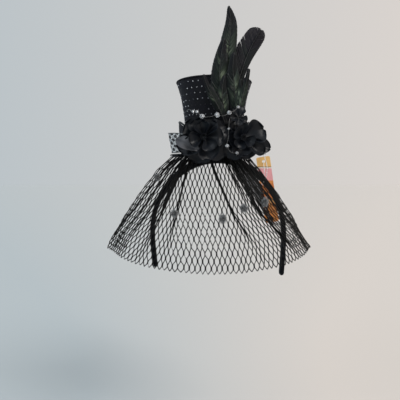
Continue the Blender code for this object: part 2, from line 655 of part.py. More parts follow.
def veil_point(across, down):
    """A point of the net: across runs -1 to 1 round the face, down 0 to 1 from gather to hem."""
    half_width = profile_value(VEIL_HALF_WIDTHS, down) * MM
    front = profile_value(VEIL_FRONT_DEPTHS, down) * MM
    angle = math.radians(profile_value(VEIL_END_ANGLES, down)) * across
    depth = front if math.cos(angle) > 0 else VEIL_BACK_DEPTH
    ahead = abs(math.cos(angle))
    crease = VEIL_CREASE * ahead * math.exp(-((ahead / VEIL_CREASE_SPREAD) ** 2)) * down**2
    reach = half_width * (math.sin(angle) - math.copysign(crease, angle))
    lift = VEIL_SIDE_LIFT * math.sin(angle) ** 2 * down**2.5
    height = VEIL_TOP + (VEIL_HEM - VEIL_TOP) * down + lift
    centre = profile_value(VEIL_CENTRES, down) * MM
    return Vector((centre + reach, VEIL_Y - depth * math.cos(angle), height))


def gather_point(across, down):
    """A point of the fixed gathers: from the binding at the hat's base down to the net's top edge."""
    start_angle = math.radians(VEIL_END_ANGLES[0]) * across
    start = Vector((GATHER_X + GATHER_HALF_WIDTH * math.sin(start_angle),
                    VEIL_Y - GATHER_DEPTH * math.cos(start_angle), GATHER_LEVEL - GATHER_BINDING_CLEARANCE))
    end = veil_point(across, 0.0) + Vector((0.0, 0.0, GATHER_NET_CLEARANCE))
    return start.lerp(end, down)


def build_veil():
    pivot = pivot_at("veil_pivot", VEIL_HINGE)
    spread = [-1 + 2 * i / VEIL_COLUMNS for i in range(VEIL_COLUMNS + 1)]
    rows = [[veil_point(a, j / VEIL_ROWS) for a in spread] for j in range(VEIL_ROWS + 1)]
    sheet("veil_net", rows, "net", VEIL_THICKNESS, VEIL_HINGE, pivot)
    rows = [[gather_point(a, j / 2) for a in spread] for j in range(3)]
    sheet("veil_gathers", rows, "net", VEIL_THICKNESS, at=rows[0][len(rows[0]) // 2])
    binding = []
    for a in spread[::2]:
        angle = math.radians(VEIL_END_ANGLES[0]) * a
        binding.append(Vector((GATHER_X + GATHER_HALF_WIDTH * math.sin(angle),
                               VEIL_Y - GATHER_DEPTH * math.cos(angle), GATHER_LEVEL)))
    tube("veil_gather_binding", binding, GATHER_BINDING_RADIUS, "satin", at=binding[0], resolution=1)
    for number, (across, down) in enumerate(DOTS, 1):
        surface = veil_point(across, down)
        beside = veil_point(across + 0.01, down) - surface
        below = veil_point(across, down + 0.01) - surface
        outward = beside.cross(below).normalized()
        if outward.y > 0:
            outward = -outward
        centre = surface + outward * (VEIL_THICKNESS / 2 + GAP + DOT_RADIUS * DOT_STAND_OFF)
        ball = bmesh.new()
        bmesh.ops.create_icosphere(ball, subdivisions=2, radius=DOT_RADIUS)
        bmesh.ops.translate(ball, verts=ball.verts, vec=centre)
        mesh_object(f"veil_dot_{number}", ball, "chenille", centre, pivot)


# ---------------------------------------------------------------- hang tag


def build_tag():
    pivot = pivot_at("tag_pivot", TAG_PIVOT)
    low = TAG_TOP - TAG_HEIGHT
    half = TAG_WIDTH / 2
    corner = TAG_CORNER_RADIUS
    outline = []
    for sx, sz, turn in ((1, 1, 0), (-1, 1, 90), (-1, -1, 180), (1, -1, 270)):
        cx = TAG_PIVOT.x + sx * (half - corner)
        cz = TAG_TOP - corner if sz > 0 else low + corner
        for step in range(4):
            angle = math.radians(turn + 30 * step)
            outline.append((cx + corner * math.cos(angle), cz + corner * math.sin(angle)))
    rows = [
        [Vector((x, TAG_PIVOT.y + side * TAG_THICKNESS / 2, z)) for x, z in outline] for side in (-1, 1)
    ]
    blank = skin(rows, wrap_columns=True, caps=True)
    tilt = Matrix.Rotation(TAG_TILT, 3, "Y")
    bmesh.ops.rotate(blank, verts=blank.verts, cent=TAG_PIVOT, matrix=tilt)
    card = mesh_object("tag_card", blank, "tag_card", TAG_PIVOT, pivot, flat=True)
    drill = bmesh.new()
    bmesh.ops.create_cone(drill, cap_ends=True, segments=12, radius1=TAG_HOLE_RADIUS,
                          radius2=TAG_HOLE_RADIUS, depth=6 * MM)
    bmesh.ops.rotate(drill, verts=drill.verts, matrix=Matrix.Rotation(math.pi / 2, 3, "X"))
    bmesh.ops.translate(drill, verts=drill.verts, vec=TAG_PIVOT)
    cutter = mesh_object("tag_hole_cutter", drill, "tag_card", TAG_PIVOT, pivot, flat=True)
    cutter.hide_render = True
    cutter.display_type = "WIRE"
    hole = card.modifiers.new("hole", "BOOLEAN")
    hole.operation = "DIFFERENCE"
    hole.solver = "EXACT"
    hole.object = cutter
    loop = smooth_path([Vector(g) * MM for g in TAG_LOOP], 3, closed=True)
    tube("tag_loop", loop, TAG_LOOP_RADIUS, "tag_nylon", closed=True, at=loop[0])


def main():
    clear_scene()
    build_headband()
    build_hat()
    build_feathers()
    build_flowers()
    build_bow()
    build_beads()
    build_veil()
    build_tag()


main()
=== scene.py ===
"""Looks of the fascinator headpiece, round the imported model. Metres, +Z up, -Y is the wearer's front."""

import math

import bpy
import numpy as np
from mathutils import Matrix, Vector


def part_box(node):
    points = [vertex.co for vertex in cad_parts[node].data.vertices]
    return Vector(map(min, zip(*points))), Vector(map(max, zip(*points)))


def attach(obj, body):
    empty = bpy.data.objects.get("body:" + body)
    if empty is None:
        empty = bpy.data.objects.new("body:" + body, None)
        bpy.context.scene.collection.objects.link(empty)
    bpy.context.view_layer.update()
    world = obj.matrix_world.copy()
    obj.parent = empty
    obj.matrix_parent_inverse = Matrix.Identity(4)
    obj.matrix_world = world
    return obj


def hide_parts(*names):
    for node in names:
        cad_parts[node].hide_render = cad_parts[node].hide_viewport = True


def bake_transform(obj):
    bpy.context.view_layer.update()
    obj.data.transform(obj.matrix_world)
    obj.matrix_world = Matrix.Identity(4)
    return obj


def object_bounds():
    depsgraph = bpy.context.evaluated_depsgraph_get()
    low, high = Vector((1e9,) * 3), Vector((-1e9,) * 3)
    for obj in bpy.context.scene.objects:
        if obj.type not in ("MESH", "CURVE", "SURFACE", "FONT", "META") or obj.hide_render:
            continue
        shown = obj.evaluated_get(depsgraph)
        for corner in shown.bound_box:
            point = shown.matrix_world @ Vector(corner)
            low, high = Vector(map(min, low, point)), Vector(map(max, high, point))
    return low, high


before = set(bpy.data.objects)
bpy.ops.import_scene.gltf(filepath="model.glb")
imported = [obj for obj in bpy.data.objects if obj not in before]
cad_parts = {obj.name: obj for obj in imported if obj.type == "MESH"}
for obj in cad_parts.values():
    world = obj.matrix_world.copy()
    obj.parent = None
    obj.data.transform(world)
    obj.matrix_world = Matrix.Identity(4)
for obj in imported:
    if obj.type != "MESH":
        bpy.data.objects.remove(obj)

CAD_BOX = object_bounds()
MM = 0.001
TURN = 2 * math.pi
UP = np.array((0.0, 0.0, 1.0))


# ---------------- points and curves


def unit(vectors):
    return vectors / np.maximum(np.linalg.norm(vectors, axis=-1, keepdims=True), 1e-12)


def circle(count):
    return TURN * np.arange(count) / count


def round_point(centre, across, deep, angle, height):
    """Points round an upright axis, with their own radii along X and along Y."""
    parts = (centre[0] + across * np.cos(angle), centre[1] + deep * np.sin(angle), height)
    return np.stack(np.broadcast_arrays(*parts), -1)


def walk(path):
    """The distance along a path to each of its points."""
    return np.concatenate(((0.0,), np.cumsum(np.linalg.norm(np.diff(path, axis=0), axis=1))))


def read_at(wanted, places, values):
    """The columns of values, which are given at places, read where they are wanted."""
    return np.stack([np.interp(wanted, places, column) for column in values.T], -1)


def cubic(a, b, c, d, t):
    """A smooth curve through a, b, c and d, from b at t = 0 to c at t = 1."""
    return 0.5 * (2 * b + (c - a) * t + (2 * a - 5 * b + 4 * c - d) * t**2 + (3 * b - a - 3 * c + d) * t**3)


def spline(values, share):
    """Smooth values read from evenly spaced ones: share runs from 0 to 1 and may be an array."""
    values = np.asarray(values, float)
    padded = np.concatenate((2 * values[:1] - values[1:2], values, 2 * values[-1:] - values[-2:-1]))
    place = np.clip(np.asarray(share, float), 0.0, 1.0) * (len(values) - 1)
    span = np.minimum(place.astype(int), len(values) - 2)
    t = place - span
    return cubic(*(padded[span + k] for k in range(4)), t[..., None] if values.ndim > 1 else t)


def smoothstep(low, high, value):
    share = np.clip((np.asarray(value, float) - low) / (high - low), 0.0, 1.0)
    return share * share * (3 - 2 * share)


def signed_power(values, power):
    return np.sign(values) * np.abs(values) ** power


# ---------------- pieces


def add_object(name, data):
    item = bpy.data.objects.new(name, data)
    bpy.context.scene.collection.objects.link(item)
    return item


def make_piece(name, points, faces, material, uv=None, tone=None, flat=False):
    """A mesh object in the row frame. uv and tone are given for each point."""
    mesh = bpy.data.meshes.new(name)
    faces = faces if isinstance(faces, list) else faces.tolist()
    mesh.from_pydata(np.reshape(points, (-1, 3)).tolist(), [], faces)
    if not flat:
        mesh.shade_smooth()
    if uv is not None:
        corners = np.empty(len(mesh.loops), np.int32)
        mesh.loops.foreach_get("vertex_index", corners)
        layer = mesh.uv_layers.new(name="UVMap")
        layer.data.foreach_set("uv", np.reshape(uv, (-1, 2))[corners].astype(np.float32).ravel())
    if tone is not None:
        attribute = mesh.attributes.new("tone", "FLOAT", "POINT")
        attribute.data.foreach_set("value", np.asarray(tone, np.float32).ravel())
    mesh.materials.append(material)
    return add_object(name, mesh)


def settle(piece, slot, *nodes, body="headpiece"):
    """Hides the nodes that a piece stands for and puts it on the body it rides on; the slot is not used."""
    if nodes:
        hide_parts(*nodes)
    if body:
        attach(piece, body)
    return piece


def grid_faces(rows, columns, wrap_rows=False, wrap_columns=False):
    """Quads over a grid of points counted row by row."""
    i = np.arange(rows if wrap_rows else rows - 1)[:, None]
    j = np.arange(columns if wrap_columns else columns - 1)[None, :]
    below, after = (i + 1) % rows, (j + 1) % columns
    corners = (i * columns + j, i * columns + after, below * columns + after, below * columns + j)
    return np.stack(np.broadcast_arrays(*corners), -1).reshape(-1, 4)


def capped_faces(rows, columns, flip):
    """The faces over rows of points that close in rings, and a cap on each end."""
    first, last = list(range(columns)), list(range((rows - 1) * columns, rows * columns))
    caps = [first[::-1], last] if flip else [first, last[::-1]]
    return grid_faces(rows, columns, wrap_columns=True).tolist() + caps


def repeated_faces(faces, size, count):
    """The same faces for each of count meshes of size points."""
    return (faces[None] + size * np.arange(count)[:, None, None]).reshape(-1, 4)


def thicken(piece, thickness, levels):
    """Gives a sheet its thickness, to both sides, and rounds it."""
    solid = piece.modifiers.new("thickness", "SOLIDIFY")
    solid.thickness = thickness
    solid.offset = 0.0
    if levels:
        rounding = piece.modifiers.new("rounding", "SUBSURF")
        rounding.levels = levels
        rounding.render_levels = levels
    return piece


def surface(name, grid, material, thickness, uv=None, wrap_columns=False, levels=1):
    """A closed sheet through a grid of points. Its UV map is in metres unless one is given."""
    rows, columns = grid.shape[:2]
    if uv is None:
        along = np.cumsum(np.linalg.norm(np.diff(grid, axis=0, prepend=grid[:1]), axis=-1), axis=0)
        across = np.cumsum(np.linalg.norm(np.diff(grid, axis=1, prepend=grid[:, :1]), axis=-1), axis=1)
        uv = np.stack((across, along), -1)
    faces = grid_faces(rows, columns, wrap_columns=wrap_columns)
    return thicken(make_piece(name, grid, faces, material, uv), thickness, levels)


def tube_parts(paths, radius, sides):
    """Points and faces of round strands along paths, an array of strand by point by axis."""
    paths = np.asarray(paths, float)
    if paths.ndim == 2:
        paths = paths[None]
    strands, count = paths.shape[:2]
    ahead = unit(np.gradient(paths, axis=1))
    lean = np.where(np.abs(ahead[..., 2:]) > 0.9, np.array((0.0, 1.0, 0.0)), UP)
    across = unit(np.cross(ahead, lean))
    upward = np.cross(across, ahead)
    radius = np.broadcast_to(np.asarray(radius, float), paths.shape[:2])[..., None, None]
    angles = circle(sides)[:, None]
    ring = across[..., None, :] * np.cos(angles) + upward[..., None, :] * np.sin(angles)
    points = (paths[..., None, :] + ring * radius).reshape(-1, 3)
    return points, repeated_faces(grid_faces(count, sides, wrap_columns=True), count * sides, strands)


def tubes(name, paths, radius, material, sides=5):
    return make_piece(name, *tube_parts(paths, radius, sides), material)


# ---------------- shader nodes


def add_node(owner, kind, inputs=None, **settings):
    """A node with its settings; inputs maps a socket's name or place to a value or another socket."""
    node = owner.node_tree.nodes.new(kind)
    for key, value in settings.items():
        setattr(node, key, value)
    for socket, value in (inputs or {}).items():
        if isinstance(value, bpy.types.NodeSocket):
            owner.node_tree.links.new(value, node.inputs[socket])
        else:
            node.inputs[socket].default_value = value
    return node


def make_material(name, colour, roughness, **sockets):
    material = bpy.data.materials.new(name)
    material.use_nodes = True
    shader = material.node_tree.nodes["Principled BSDF"]
    shader.inputs["Base Color"].default_value = (*colour, 1.0)
    shader.inputs["Roughness"].default_value = roughness
    for socket, value in sockets.items():
        shader.inputs[socket.replace("_", " ")].default_value = value
    return material


def link(material, output, socket):
    tree = material.node_tree
    tree.links.new(output, tree.nodes["Principled BSDF"].inputs[socket])


def coordinates(owner, kind="Object"):
    return add_node(owner, "ShaderNodeTexCoord").outputs[kind]


def split(owner, vector, axis):
    return add_node(owner, "ShaderNodeSeparateXYZ", {"Vector": vector}).outputs[axis]


def noise(owner, where, scale, detail=3.0, stretch=None):
    if stretch:
        where = add_node(owner, "ShaderNodeMapping", {"Vector": where, "Scale": stretch}).outputs[0]
    inputs = {"Vector": where, "Scale": scale, "Detail": detail}
    return add_node(owner, "ShaderNodeTexNoise", inputs).outputs["Fac"]


def map_range(owner, value, low, high):
    inputs = {"Value": value, "From Min": low, "From Max": high}
    return add_node(owner, "ShaderNodeMapRange", inputs).outputs["Result"]


def ramp(owner, value, stops, constant=False):
    """A colour ramp: stops are (place, (r, g, b)) or (place, grey)."""
    node = add_node(owner, "ShaderNodeValToRGB", {"Fac": value})
    if constant:
        node.color_ramp.interpolation = "CONSTANT"
    elements = node.color_ramp.elements
    while len(elements) < len(stops):
        elements.new(0.5)
    for element, (place, colour) in zip(elements, stops):
        element.position = place
        element.color = (*colour, 1.0) if isinstance(colour, tuple) else (colour, colour, colour, 1.0)
    return node.outputs["Color"]


def calculate(owner, operation, *values):
    return add_node(owner, "ShaderNodeMath", dict(enumerate(values)), operation=operation).outputs[0]


def multiply(owner, first, second, share=1.0):
    """One colour multiplied by another, by a share."""
    inputs = {"Factor": share, "A": first, "B": second}
    node = add_node(owner, "ShaderNodeMix", inputs, data_type="RGBA", blend_type="MULTIPLY")
    return node.outputs["Result"]


def colour_by(material, value, stops, socket="Base Color"):
    link(material, ramp(material, value, stops), socket)


def bump(material, height, strength, distance):
    inputs = {"Height": height, "Strength": strength, "Distance": distance}
    link(material, add_node(material, "ShaderNodeBump", inputs).outputs["Normal"], "Normal")


def weave(material, where, pitch):
    """The height of a plain weave: two crossed waves, pitch apart."""
    waves = []
    for direction in ("X", "Y"):
        inputs = {"Vector": where, "Scale": 0.31831 / pitch}
        settings = {"wave_type": "BANDS", "bands_direction": direction, "wave_profile": "SIN"}
        waves.append(add_node(material, "ShaderNodeTexWave", inputs, **settings).outputs["Fac"])
    return calculate(material, "MULTIPLY", *waves)


def point_tone(material):
    return add_node(material, "ShaderNodeAttribute", attribute_name="tone").outputs["Fac"]


# ---------------- camera, light and floor

CAMERA_PLACE = (-0.050, -0.568, -0.020)
CAMERA_YAW = math.radians(2.87)  # towards +X
CAMERA_PITCH = math.radians(-2.40)
CAMERA_LENS = 42.9
FLOOR_LEVEL = CAD_BOX[0][2] - 0.20  # below the display head that the headpiece would sit on
FLOOR_HALF = 30.0
FLOOR_TONE = 0.897  # makes the lit floor as bright as the surroundings
COOL_GREY = (0.475, 0.535, 0.570)
WARM_GREY = (0.700, 0.655, 0.620)
TINT_EDGE = 0.45  # how far to the side, as the sine of the angle, the tint stops changing


def add_camera():
    data = bpy.data.cameras.new("camera")
    data.lens = CAMERA_LENS
    data.sensor_width = 36.0
    data.clip_start = 0.01
    camera = add_object("camera", data)
    camera.location = CAMERA_PLACE
    camera.rotation_euler = (math.pi / 2 + CAMERA_PITCH, 0.0, -CAMERA_YAW)
    bpy.context.scene.camera = camera


def add_sun(name, towards, strength, spread, colour):
    data = bpy.data.lights.new(name, "SUN")
    data.energy = strength
    data.angle = math.radians(spread)
    data.color = colour
    add_object(name, data).rotation_euler = Vector(towards).to_track_quat("-Z", "Y").to_euler()


def side_tint(owner, direction):
    """Cool grey on the left through to warm grey on the right of a direction."""
    along = add_node(owner, "ShaderNodeVectorMath", {0: direction}, operation="NORMALIZE")
    share = map_range(owner, split(owner, along.outputs["Vector"], "X"), -TINT_EDGE, TINT_EDGE)
    return ramp(owner, share, ((0.0, COOL_GREY), (1.0, WARM_GREY)))


def add_studio():
    scene = bpy.context.scene
    scene.view_settings.view_transform = "Standard"
    world = bpy.data.worlds.new("studio")
    world.use_nodes = True
    tint = side_tint(world, coordinates(world, "Generated"))
    world.node_tree.links.new(tint, world.node_tree.nodes["Background"].inputs["Color"])
    scene.world = world
    add_sun("key", (-0.55, 0.62, -0.75), 2.0, 28.0, (1.0, 0.97, 0.93))
    add_sun("fill", (0.75, 0.50, -0.45), 0.7, 40.0, (0.88, 0.94, 1.0))
    mesh = bpy.data.meshes.new("floor")
    corners = ((-1, -1), (1, -1), (1, 1), (-1, 1))
    mesh.from_pydata([(x * FLOOR_HALF, y * FLOOR_HALF, FLOOR_LEVEL) for x, y in corners], [], [(0, 1, 2, 3)])
    floor_shader = make_material("floor_grey_and_painted_light", (0.6, 0.6, 0.6), 0.9, Specular_IOR_Level=0.1)
    paler = (FLOOR_TONE, FLOOR_TONE, FLOOR_TONE, 1.0)
    # The floor's grey carries the world's cool-to-warm tint: painted cool light on its left and painted warm
    # light on its right.
    link(floor_shader, multiply(floor_shader, side_tint(floor_shader, coordinates(floor_shader)), paler), "Base Color")
    mesh.materials.append(floor_shader)
    add_object("floor", mesh)


# ---------------- materials


def mottled(name, colour, roughness, grain, stops, relief=None, socket="Base Color", **sockets):
    """A material with one socket read off a fine noise. Relief is a second one, its strength and depth."""
    material = make_material(name, colour, roughness, **sockets)
    where = coordinates(material)
    colour_by(material, noise(material, where, *grain), stops, socket)
    if relief:
        bump(material, noise(material, where, *relief[:2]), *relief[2:])
    return material


def plain_materials():
    """The materials that are one mottled colour. Each: its look, its noise and its relief."""
    return {
        "velvet": mottled("velvet", (0.006, 0.006, 0.008), 0.95, (260.0, 4.0),
                          ((0.35, (0.003, 0.003, 0.004)), (0.70, (0.011, 0.012, 0.015))),
                          (2600.0, 2.0, 0.5, 0.0006), Sheen_Weight=0.10, Sheen_Roughness=0.45,
                          Sheen_Tint=(0.55, 0.60, 0.72, 1.0), Specular_IOR_Level=0.06),
        "yarn": mottled("net_yarn", (0.004, 0.004, 0.005), 0.6, (400.0,), ((0.3, 0.002), (0.8, 0.007)),
                        (3500.0, 3.0, 0.5, 0.0002), Specular_IOR_Level=0.12),
        "bead": mottled("clear_bead", (0.60, 0.62, 0.65), 0.05, (500.0,),
                        ((0.3, (0.60, 0.62, 0.66)), (0.7, (0.92, 0.94, 0.97))), Transmission_Weight=0.75,
                        IOR=1.6, Coat_Weight=1.0, Coat_Roughness=0.02),
        "thread": mottled("metal_thread", (0.40, 0.41, 0.43), 0.42, (1800.0, 2.0), ((0.3, 0.05), (0.7, 0.32)),
                          (1800.0, 2.0, 0.6, 0.0002), Metallic=1.0),
        "foil": mottled("foil", (0.75, 0.77, 0.80), 0.30, (320.0, 1.0),
                        ((0.36, (0.03, 0.03, 0.035)), (0.46, (0.30, 0.31, 0.33)), (0.56, (0.95, 0.96, 1.0))),
                        Metallic=1.0),
        "felt": mottled("felt", (0.012, 0.012, 0.014), 1.0, (1200.0, 6.0), ((0.3, 0.007), (0.75, 0.028)),
                        (1200.0, 6.0, 0.9, 0.0008), Sheen_Weight=0.3, Sheen_Roughness=0.7),
        "quill": mottled("quill", (0.018, 0.016, 0.016), 0.3, (300.0,), ((0.3, 0.010), (0.8, 0.040))),
        "plastic": mottled("core_plastic", (0.02, 0.02, 0.022), 0.4, (300.0, 5.0), ((0.3, 0.28), (0.7, 0.55)),
                           socket="Roughness"),
        "nylon": mottled("nylon", (0.85, 0.86, 0.85), 0.25, (700.0,), ((0.3, 0.18), (0.7, 0.38)),
                         socket="Roughness", Transmission_Weight=0.5, IOR=1.5),
    }


def buckram():
    material = mottled("buckram", (0.03, 0.03, 0.032), 0.9, (200.0,), ((0.3, 0.018), (0.8, 0.045)))
    bump(material, weave(material, coordinates(material), 0.0014), 0.8, 0.0006)
    return material


def hat_cloth():
    material = make_material("hat_cloth", (0.006, 0.006, 0.008), 0.78, Sheen_Weight=0.06, Sheen_Roughness=0.5,
                             Sheen_Tint=(0.5, 0.55, 0.7, 1.0), Specular_IOR_Level=0.16)
    cloud = noise(material, coordinates(material), 120.0, 4.0)
    colour_by(material, cloud, ((0.3, (0.003, 0.003, 0.004)), (0.75, (0.011, 0.011, 0.016))))
    colour_by(material, cloud, ((0.3, 0.62), (0.8, 0.90)), "Roughness")
    bump(material, weave(material, coordinates(material, "UV"), 0.0009), 0.6, 0.0005)
    return material


def satin():
    """Near black, and paler where a point's tone paints a highlight on a petal."""
    dark = (0.003, 0.004, 0.006)
    material = make_material("satin", dark, 0.36, Sheen_Weight=0.03, Sheen_Roughness=0.35,
                             Sheen_Tint=(0.65, 0.80, 1.0, 1.0), Specular_IOR_Level=0.22, Anisotropic=0.4)
    cloud = noise(material, coordinates(material), 90.0)
    # A petal's tone paints a highlight into the satin's colour: pale grey where light falls broadly on it.
    lightness = calculate(material, "MULTIPLY_ADD", cloud, 0.35, point_tone(material))
    stops = ((0.08, dark), (0.28, (0.006, 0.008, 0.012)), (1.0, (0.200, 0.200, 0.215)))
    colour_by(material, lightness, stops)
    ribs = noise(material, coordinates(material, "UV"), 900.0, 2.0, (1.0, 0.12, 1.0))
    colour_by(material, ribs, ((0.3, 0.30), (0.7, 0.48)), "Roughness")
    bump(material, ribs, 0.35, 0.0002)
    return material


def feather_vane():
    material = make_material("feather_vane", (0.01, 0.015, 0.013), 0.42, Sheen_Weight=0.05,
                             Sheen_Roughness=0.3, Sheen_Tint=(0.50, 0.75, 0.62, 1.0), Specular_IOR_Level=0.22)
    # Each barb's tone and the streaks along the barbs give the vane its near black colour and paint its
    # sheen, pale olive where light catches it.
    streak = noise(material, coordinates(material, "UV"), 14.0, 3.0, (1.0, 6.0, 1.0))
    mixed = calculate(material, "MULTIPLY_ADD", streak, 0.35, point_tone(material))
    colour_by(material, mixed, ((0.18, (0.006, 0.005, 0.009)), (0.50, (0.006, 0.010, 0.009)),
                                (0.78, (0.028, 0.040, 0.029)), (1.0, (0.150, 0.185, 0.130))))
    bump(material, noise(material, coordinates(material), 1500.0, 2.0), 0.3, 0.0003)
    return material


def dot_mask(material, pitch, radius):
    """1 inside round dots in a staggered grid over the UV map, which is in metres, and 0 between them."""
    where = coordinates(material, "UV")
    distances = []
    for shift in (0.0, 0.5):
        squares = []
        for axis in ("X", "Y"):
            scaled = calculate(material, "DIVIDE", split(material, where, axis), pitch)
            place = calculate(material, "FRACT", calculate(material, "ADD", scaled, 100.0 + shift))
            offset = calculate(material, "MULTIPLY", calculate(material, "SUBTRACT", place, 0.5), pitch)
            squares.append(calculate(material, "MULTIPLY", offset, offset))
        distances.append(calculate(material, "SQRT", calculate(material, "ADD", *squares)))
    return calculate(material, "LESS_THAN", calculate(material, "MINIMUM", *distances), radius)


def dotted_sheer(name, cloth, dot, clear, pitch, radius):
    """Sheer ribbon with flocked dots; clear is the alpha of the cloth between them."""
    material = make_material(name, cloth, 0.45, Sheen_Weight=0.4, Sheen_Roughness=0.4)
    dots = dot_mask(material, pitch, radius)
    colour_by(material, dots, ((0.0, cloth), (1.0, dot)))
    threads = weave(material, coordinates(material, "UV"), 0.0005)
    haze = calculate(material, "MULTIPLY_ADD", threads, 0.22, clear)
    link(material, calculate(material, "MAXIMUM", haze, dots), "Alpha")
    bump(material, threads, 0.4, 0.0002)
    return material


def chenille():
    """Painted shade darkens the heart of a dot, and a painted highlight pales its fibres' tips."""
    material = make_material("chenille", (0.12, 0.13, 0.14), 0.7, Sheen_Weight=0.6, Sheen_Roughness=0.4)
    colour_by(material, point_tone(material), ((0.0, (0.030, 0.032, 0.036)), (0.75, (0.16, 0.17, 0.18)),
                                               (1.0, (0.70, 0.72, 0.74))))
    return material


def tag_print(low, high):
    """Plain colour blocks down the card between two heights, with no lettering."""
    material = make_material("tag_print", (0.80, 0.55, 0.30), 0.42, Coat_Weight=0.25, Coat_Roughness=0.2)
    where = coordinates(material)
    share = map_range(material, split(material, where, "Z"), low, high)
    blocks = ((0.0, (0.60, 0.22, 0.05)), (0.30, (0.78, 0.42, 0.14)), (0.36, (0.58, 0.17, 0.03)),
              (0.60, (0.66, 0.24, 0.05)), (0.635, (0.80, 0.35, 0.38)), (0.815, (0.86, 0.82, 0.74)),
              (0.83, (0.20, 0.12, 0.08)), (0.842, (0.82, 0.50, 0.17)))
    mottle = ramp(material, noise(material, where, 110.0, 4.0), ((0.35, 0.72), (0.65, 1.0)))
    printed = ramp(material, share, blocks, constant=True)
    link(material, multiply(material, printed, mottle, 0.55), "Base Color")
    bump(material, noise(material, where, 900.0), 0.15, 0.0003)
    return material


# ---------------- headband

BAND_HALF_SPAN = 78.7 * MM
BAND_RISE = 86.0 * MM
BAND_LEAN = math.radians(3.2)
BAND_TURN_RADIUS = 71.0 * MM
BAND_SIDES = 28
LEG_BEND_RADIUS = 230.0 * MM
LEG_STRAIGHT = 24.0 * MM
LEG_DROP = {"left": 33.0 * MM, "right": 53.0 * MM}
CAP_LENGTH = 4.8 * MM
STITCHES = 42


def band_path(side, angles, drops):
    """Centreline of one half of the band: degrees down the arch, then metres down the leg."""
    sign = -1 if side == "left" else 1
    angles = np.radians(angles)
    bend = LEG_DROP[side] - LEG_STRAIGHT
    curved = np.minimum(drops, bend)
    inward = curved**2 / (2 * LEG_BEND_RADIUS) + (drops - curved) * bend / LEG_BEND_RADIUS
    x = sign * np.concatenate((BAND_HALF_SPAN * np.sin(angles), BAND_HALF_SPAN - inward))
    foot = 4.0 * MM - BAND_RISE
    z = np.concatenate((4.0 * MM - BAND_RISE * (1 - np.cos(angles)), foot - drops))
    turn_x, turn_z = math.sin(BAND_LEAN), math.cos(BAND_LEAN)
    level = z + BAND_TURN_RADIUS
    return np.stack((x * turn_z - level * turn_x, 0 * x, x * turn_x + level * turn_z - BAND_TURN_RADIUS), -1)


def band_cover(side, path, outward, thickness, width, cloth):
    """The velvet sleeve: a rounded rectangle along the band that closes round its tip."""
    walked = walk(path)
    tip = np.clip((walked - (walked[-1] - CAP_LENGTH)) / CAP_LENGTH, 0.0, 1.0)
    closing = np.sqrt(np.maximum(1 - tip**2.4, 0.0008))
    turn = circle(BAND_SIDES)
    u, v = signed_power(np.cos(turn), 0.62), signed_power(np.sin(turn), 0.62)
    ripple = 1 + 0.012 * np.sin(walked[:, None] * 900.0 + 2.0 * np.sin(turn) + walked[:, None] * 310.0)
    ring = path[:, None] + outward[:, None] * ((thickness * closing / 2)[:, None] * ripple * v)[..., None]
    ring[..., 1] += (width * closing / 2)[:, None] * ripple * u
    uv = np.stack(np.broadcast_arrays(turn * 6.0 * MM, walked[:, None]), -1)
    cover = make_piece(side + "_band_cover", ring, capped_faces(len(path), BAND_SIDES, False), cloth, uv)
    nodes = (side + "_arm_sleeve", side + "_tip_cap", "band_arch_sleeve")
    return settle(cover, "black_velvet", *nodes, body=None)


def band_stitches(side, path, outward, thickness, thread):
    """The cover is whip-stitched along the inner face."""
    walked = walk(path)
    share = np.linspace(0.02, 0.96, 260)
    seam = share * walked[-1]
    depth = np.interp(seam, walked, thickness / 2) + 0.05 * MM
    place = read_at(seam, walked, path) + unit(read_at(seam, walked, -outward)) * depth[:, None]
    place[:, 1] += 0.9 * MM * signed_power(np.sin(share * TURN * STITCHES), 0.5)
    return settle(tubes(side + "_band_stitches", place, 0.22 * MM, thread), "black_velvet", body=None)


def build_band(cloth, thread):
    for side, drop in LEG_DROP.items():
        angles = np.linspace(0.0, 88.0, 40)
        drops = np.linspace(0.0, drop + CAP_LENGTH, 40)
        path = band_path(side, angles, drops)
        ahead = unit(np.gradient(path, axis=0))
        outward = np.cross(ahead, (0.0, 1.0, 0.0)) * (1 if side == "left" else -1)
        slim = np.concatenate((smoothstep(28.0, 74.0, angles), np.ones(len(drops))))
        thickness = 8.4 * MM - 3.0 * MM * slim
        cover = band_cover(side, path, outward, thickness, 13.0 * MM - 2.0 * MM * slim, cloth)
        stitches = band_stitches(side, path, outward, thickness, thread)
        for piece in (cover, stitches):
            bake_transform(piece)


# ---------------- hat

HAT_CENTRE = (-5.0 * MM, 0.0)
ROUND = 96  # points round the hat
CROWN_PROFILE = np.array(((35.0, 21.0), (34.6, 34.0), (35.0, 50.0), (36.6, 62.7), (39.3, 78.0),
                          (43.8, 93.0))) * MM
CROWN_TOP = 94.1 * MM
TOP_RADIUS = 42.4 * MM
BRIM_FOOT_RADIUS = 37.2 * MM
BRIM_RADIUS = 44.0 * MM
FOIL_PITCH = 6.2 * MM
FOIL_RADIUS = 0.62 * MM
FOIL_ROWS = 12
FOIL_COLUMNS = 38


def crown_point(angle, share, out=0.0):
    """A point of the crown's wall, share running from its foot to its rim."""
    angle, share = np.broadcast_arrays(angle, share)
    radius, height = np.moveaxis(spline(CROWN_PROFILE, share), -1, 0)
    sag = 1 - 0.012 * np.sin(2 * angle + 0.7) * (1 - share) - 0.008 * np.sin(5 * angle) * share
    radius = radius * sag + out
    return round_point(HAT_CENTRE, radius, radius, angle, height)


def brim_point(angle, share):
    """A point of the brim, which curls up at both sides."""
    side = np.abs(np.cos(angle)) ** 1.5
    spread = BRIM_RADIUS - 3.0 * MM * side - BRIM_FOOT_RADIUS
    radius = BRIM_FOOT_RADIUS + spread * np.sin(share * math.pi / 2)
    return round_point(HAT_CENTRE, radius, radius, angle, 20.0 * MM + 26.5 * MM * side * share**1.4)


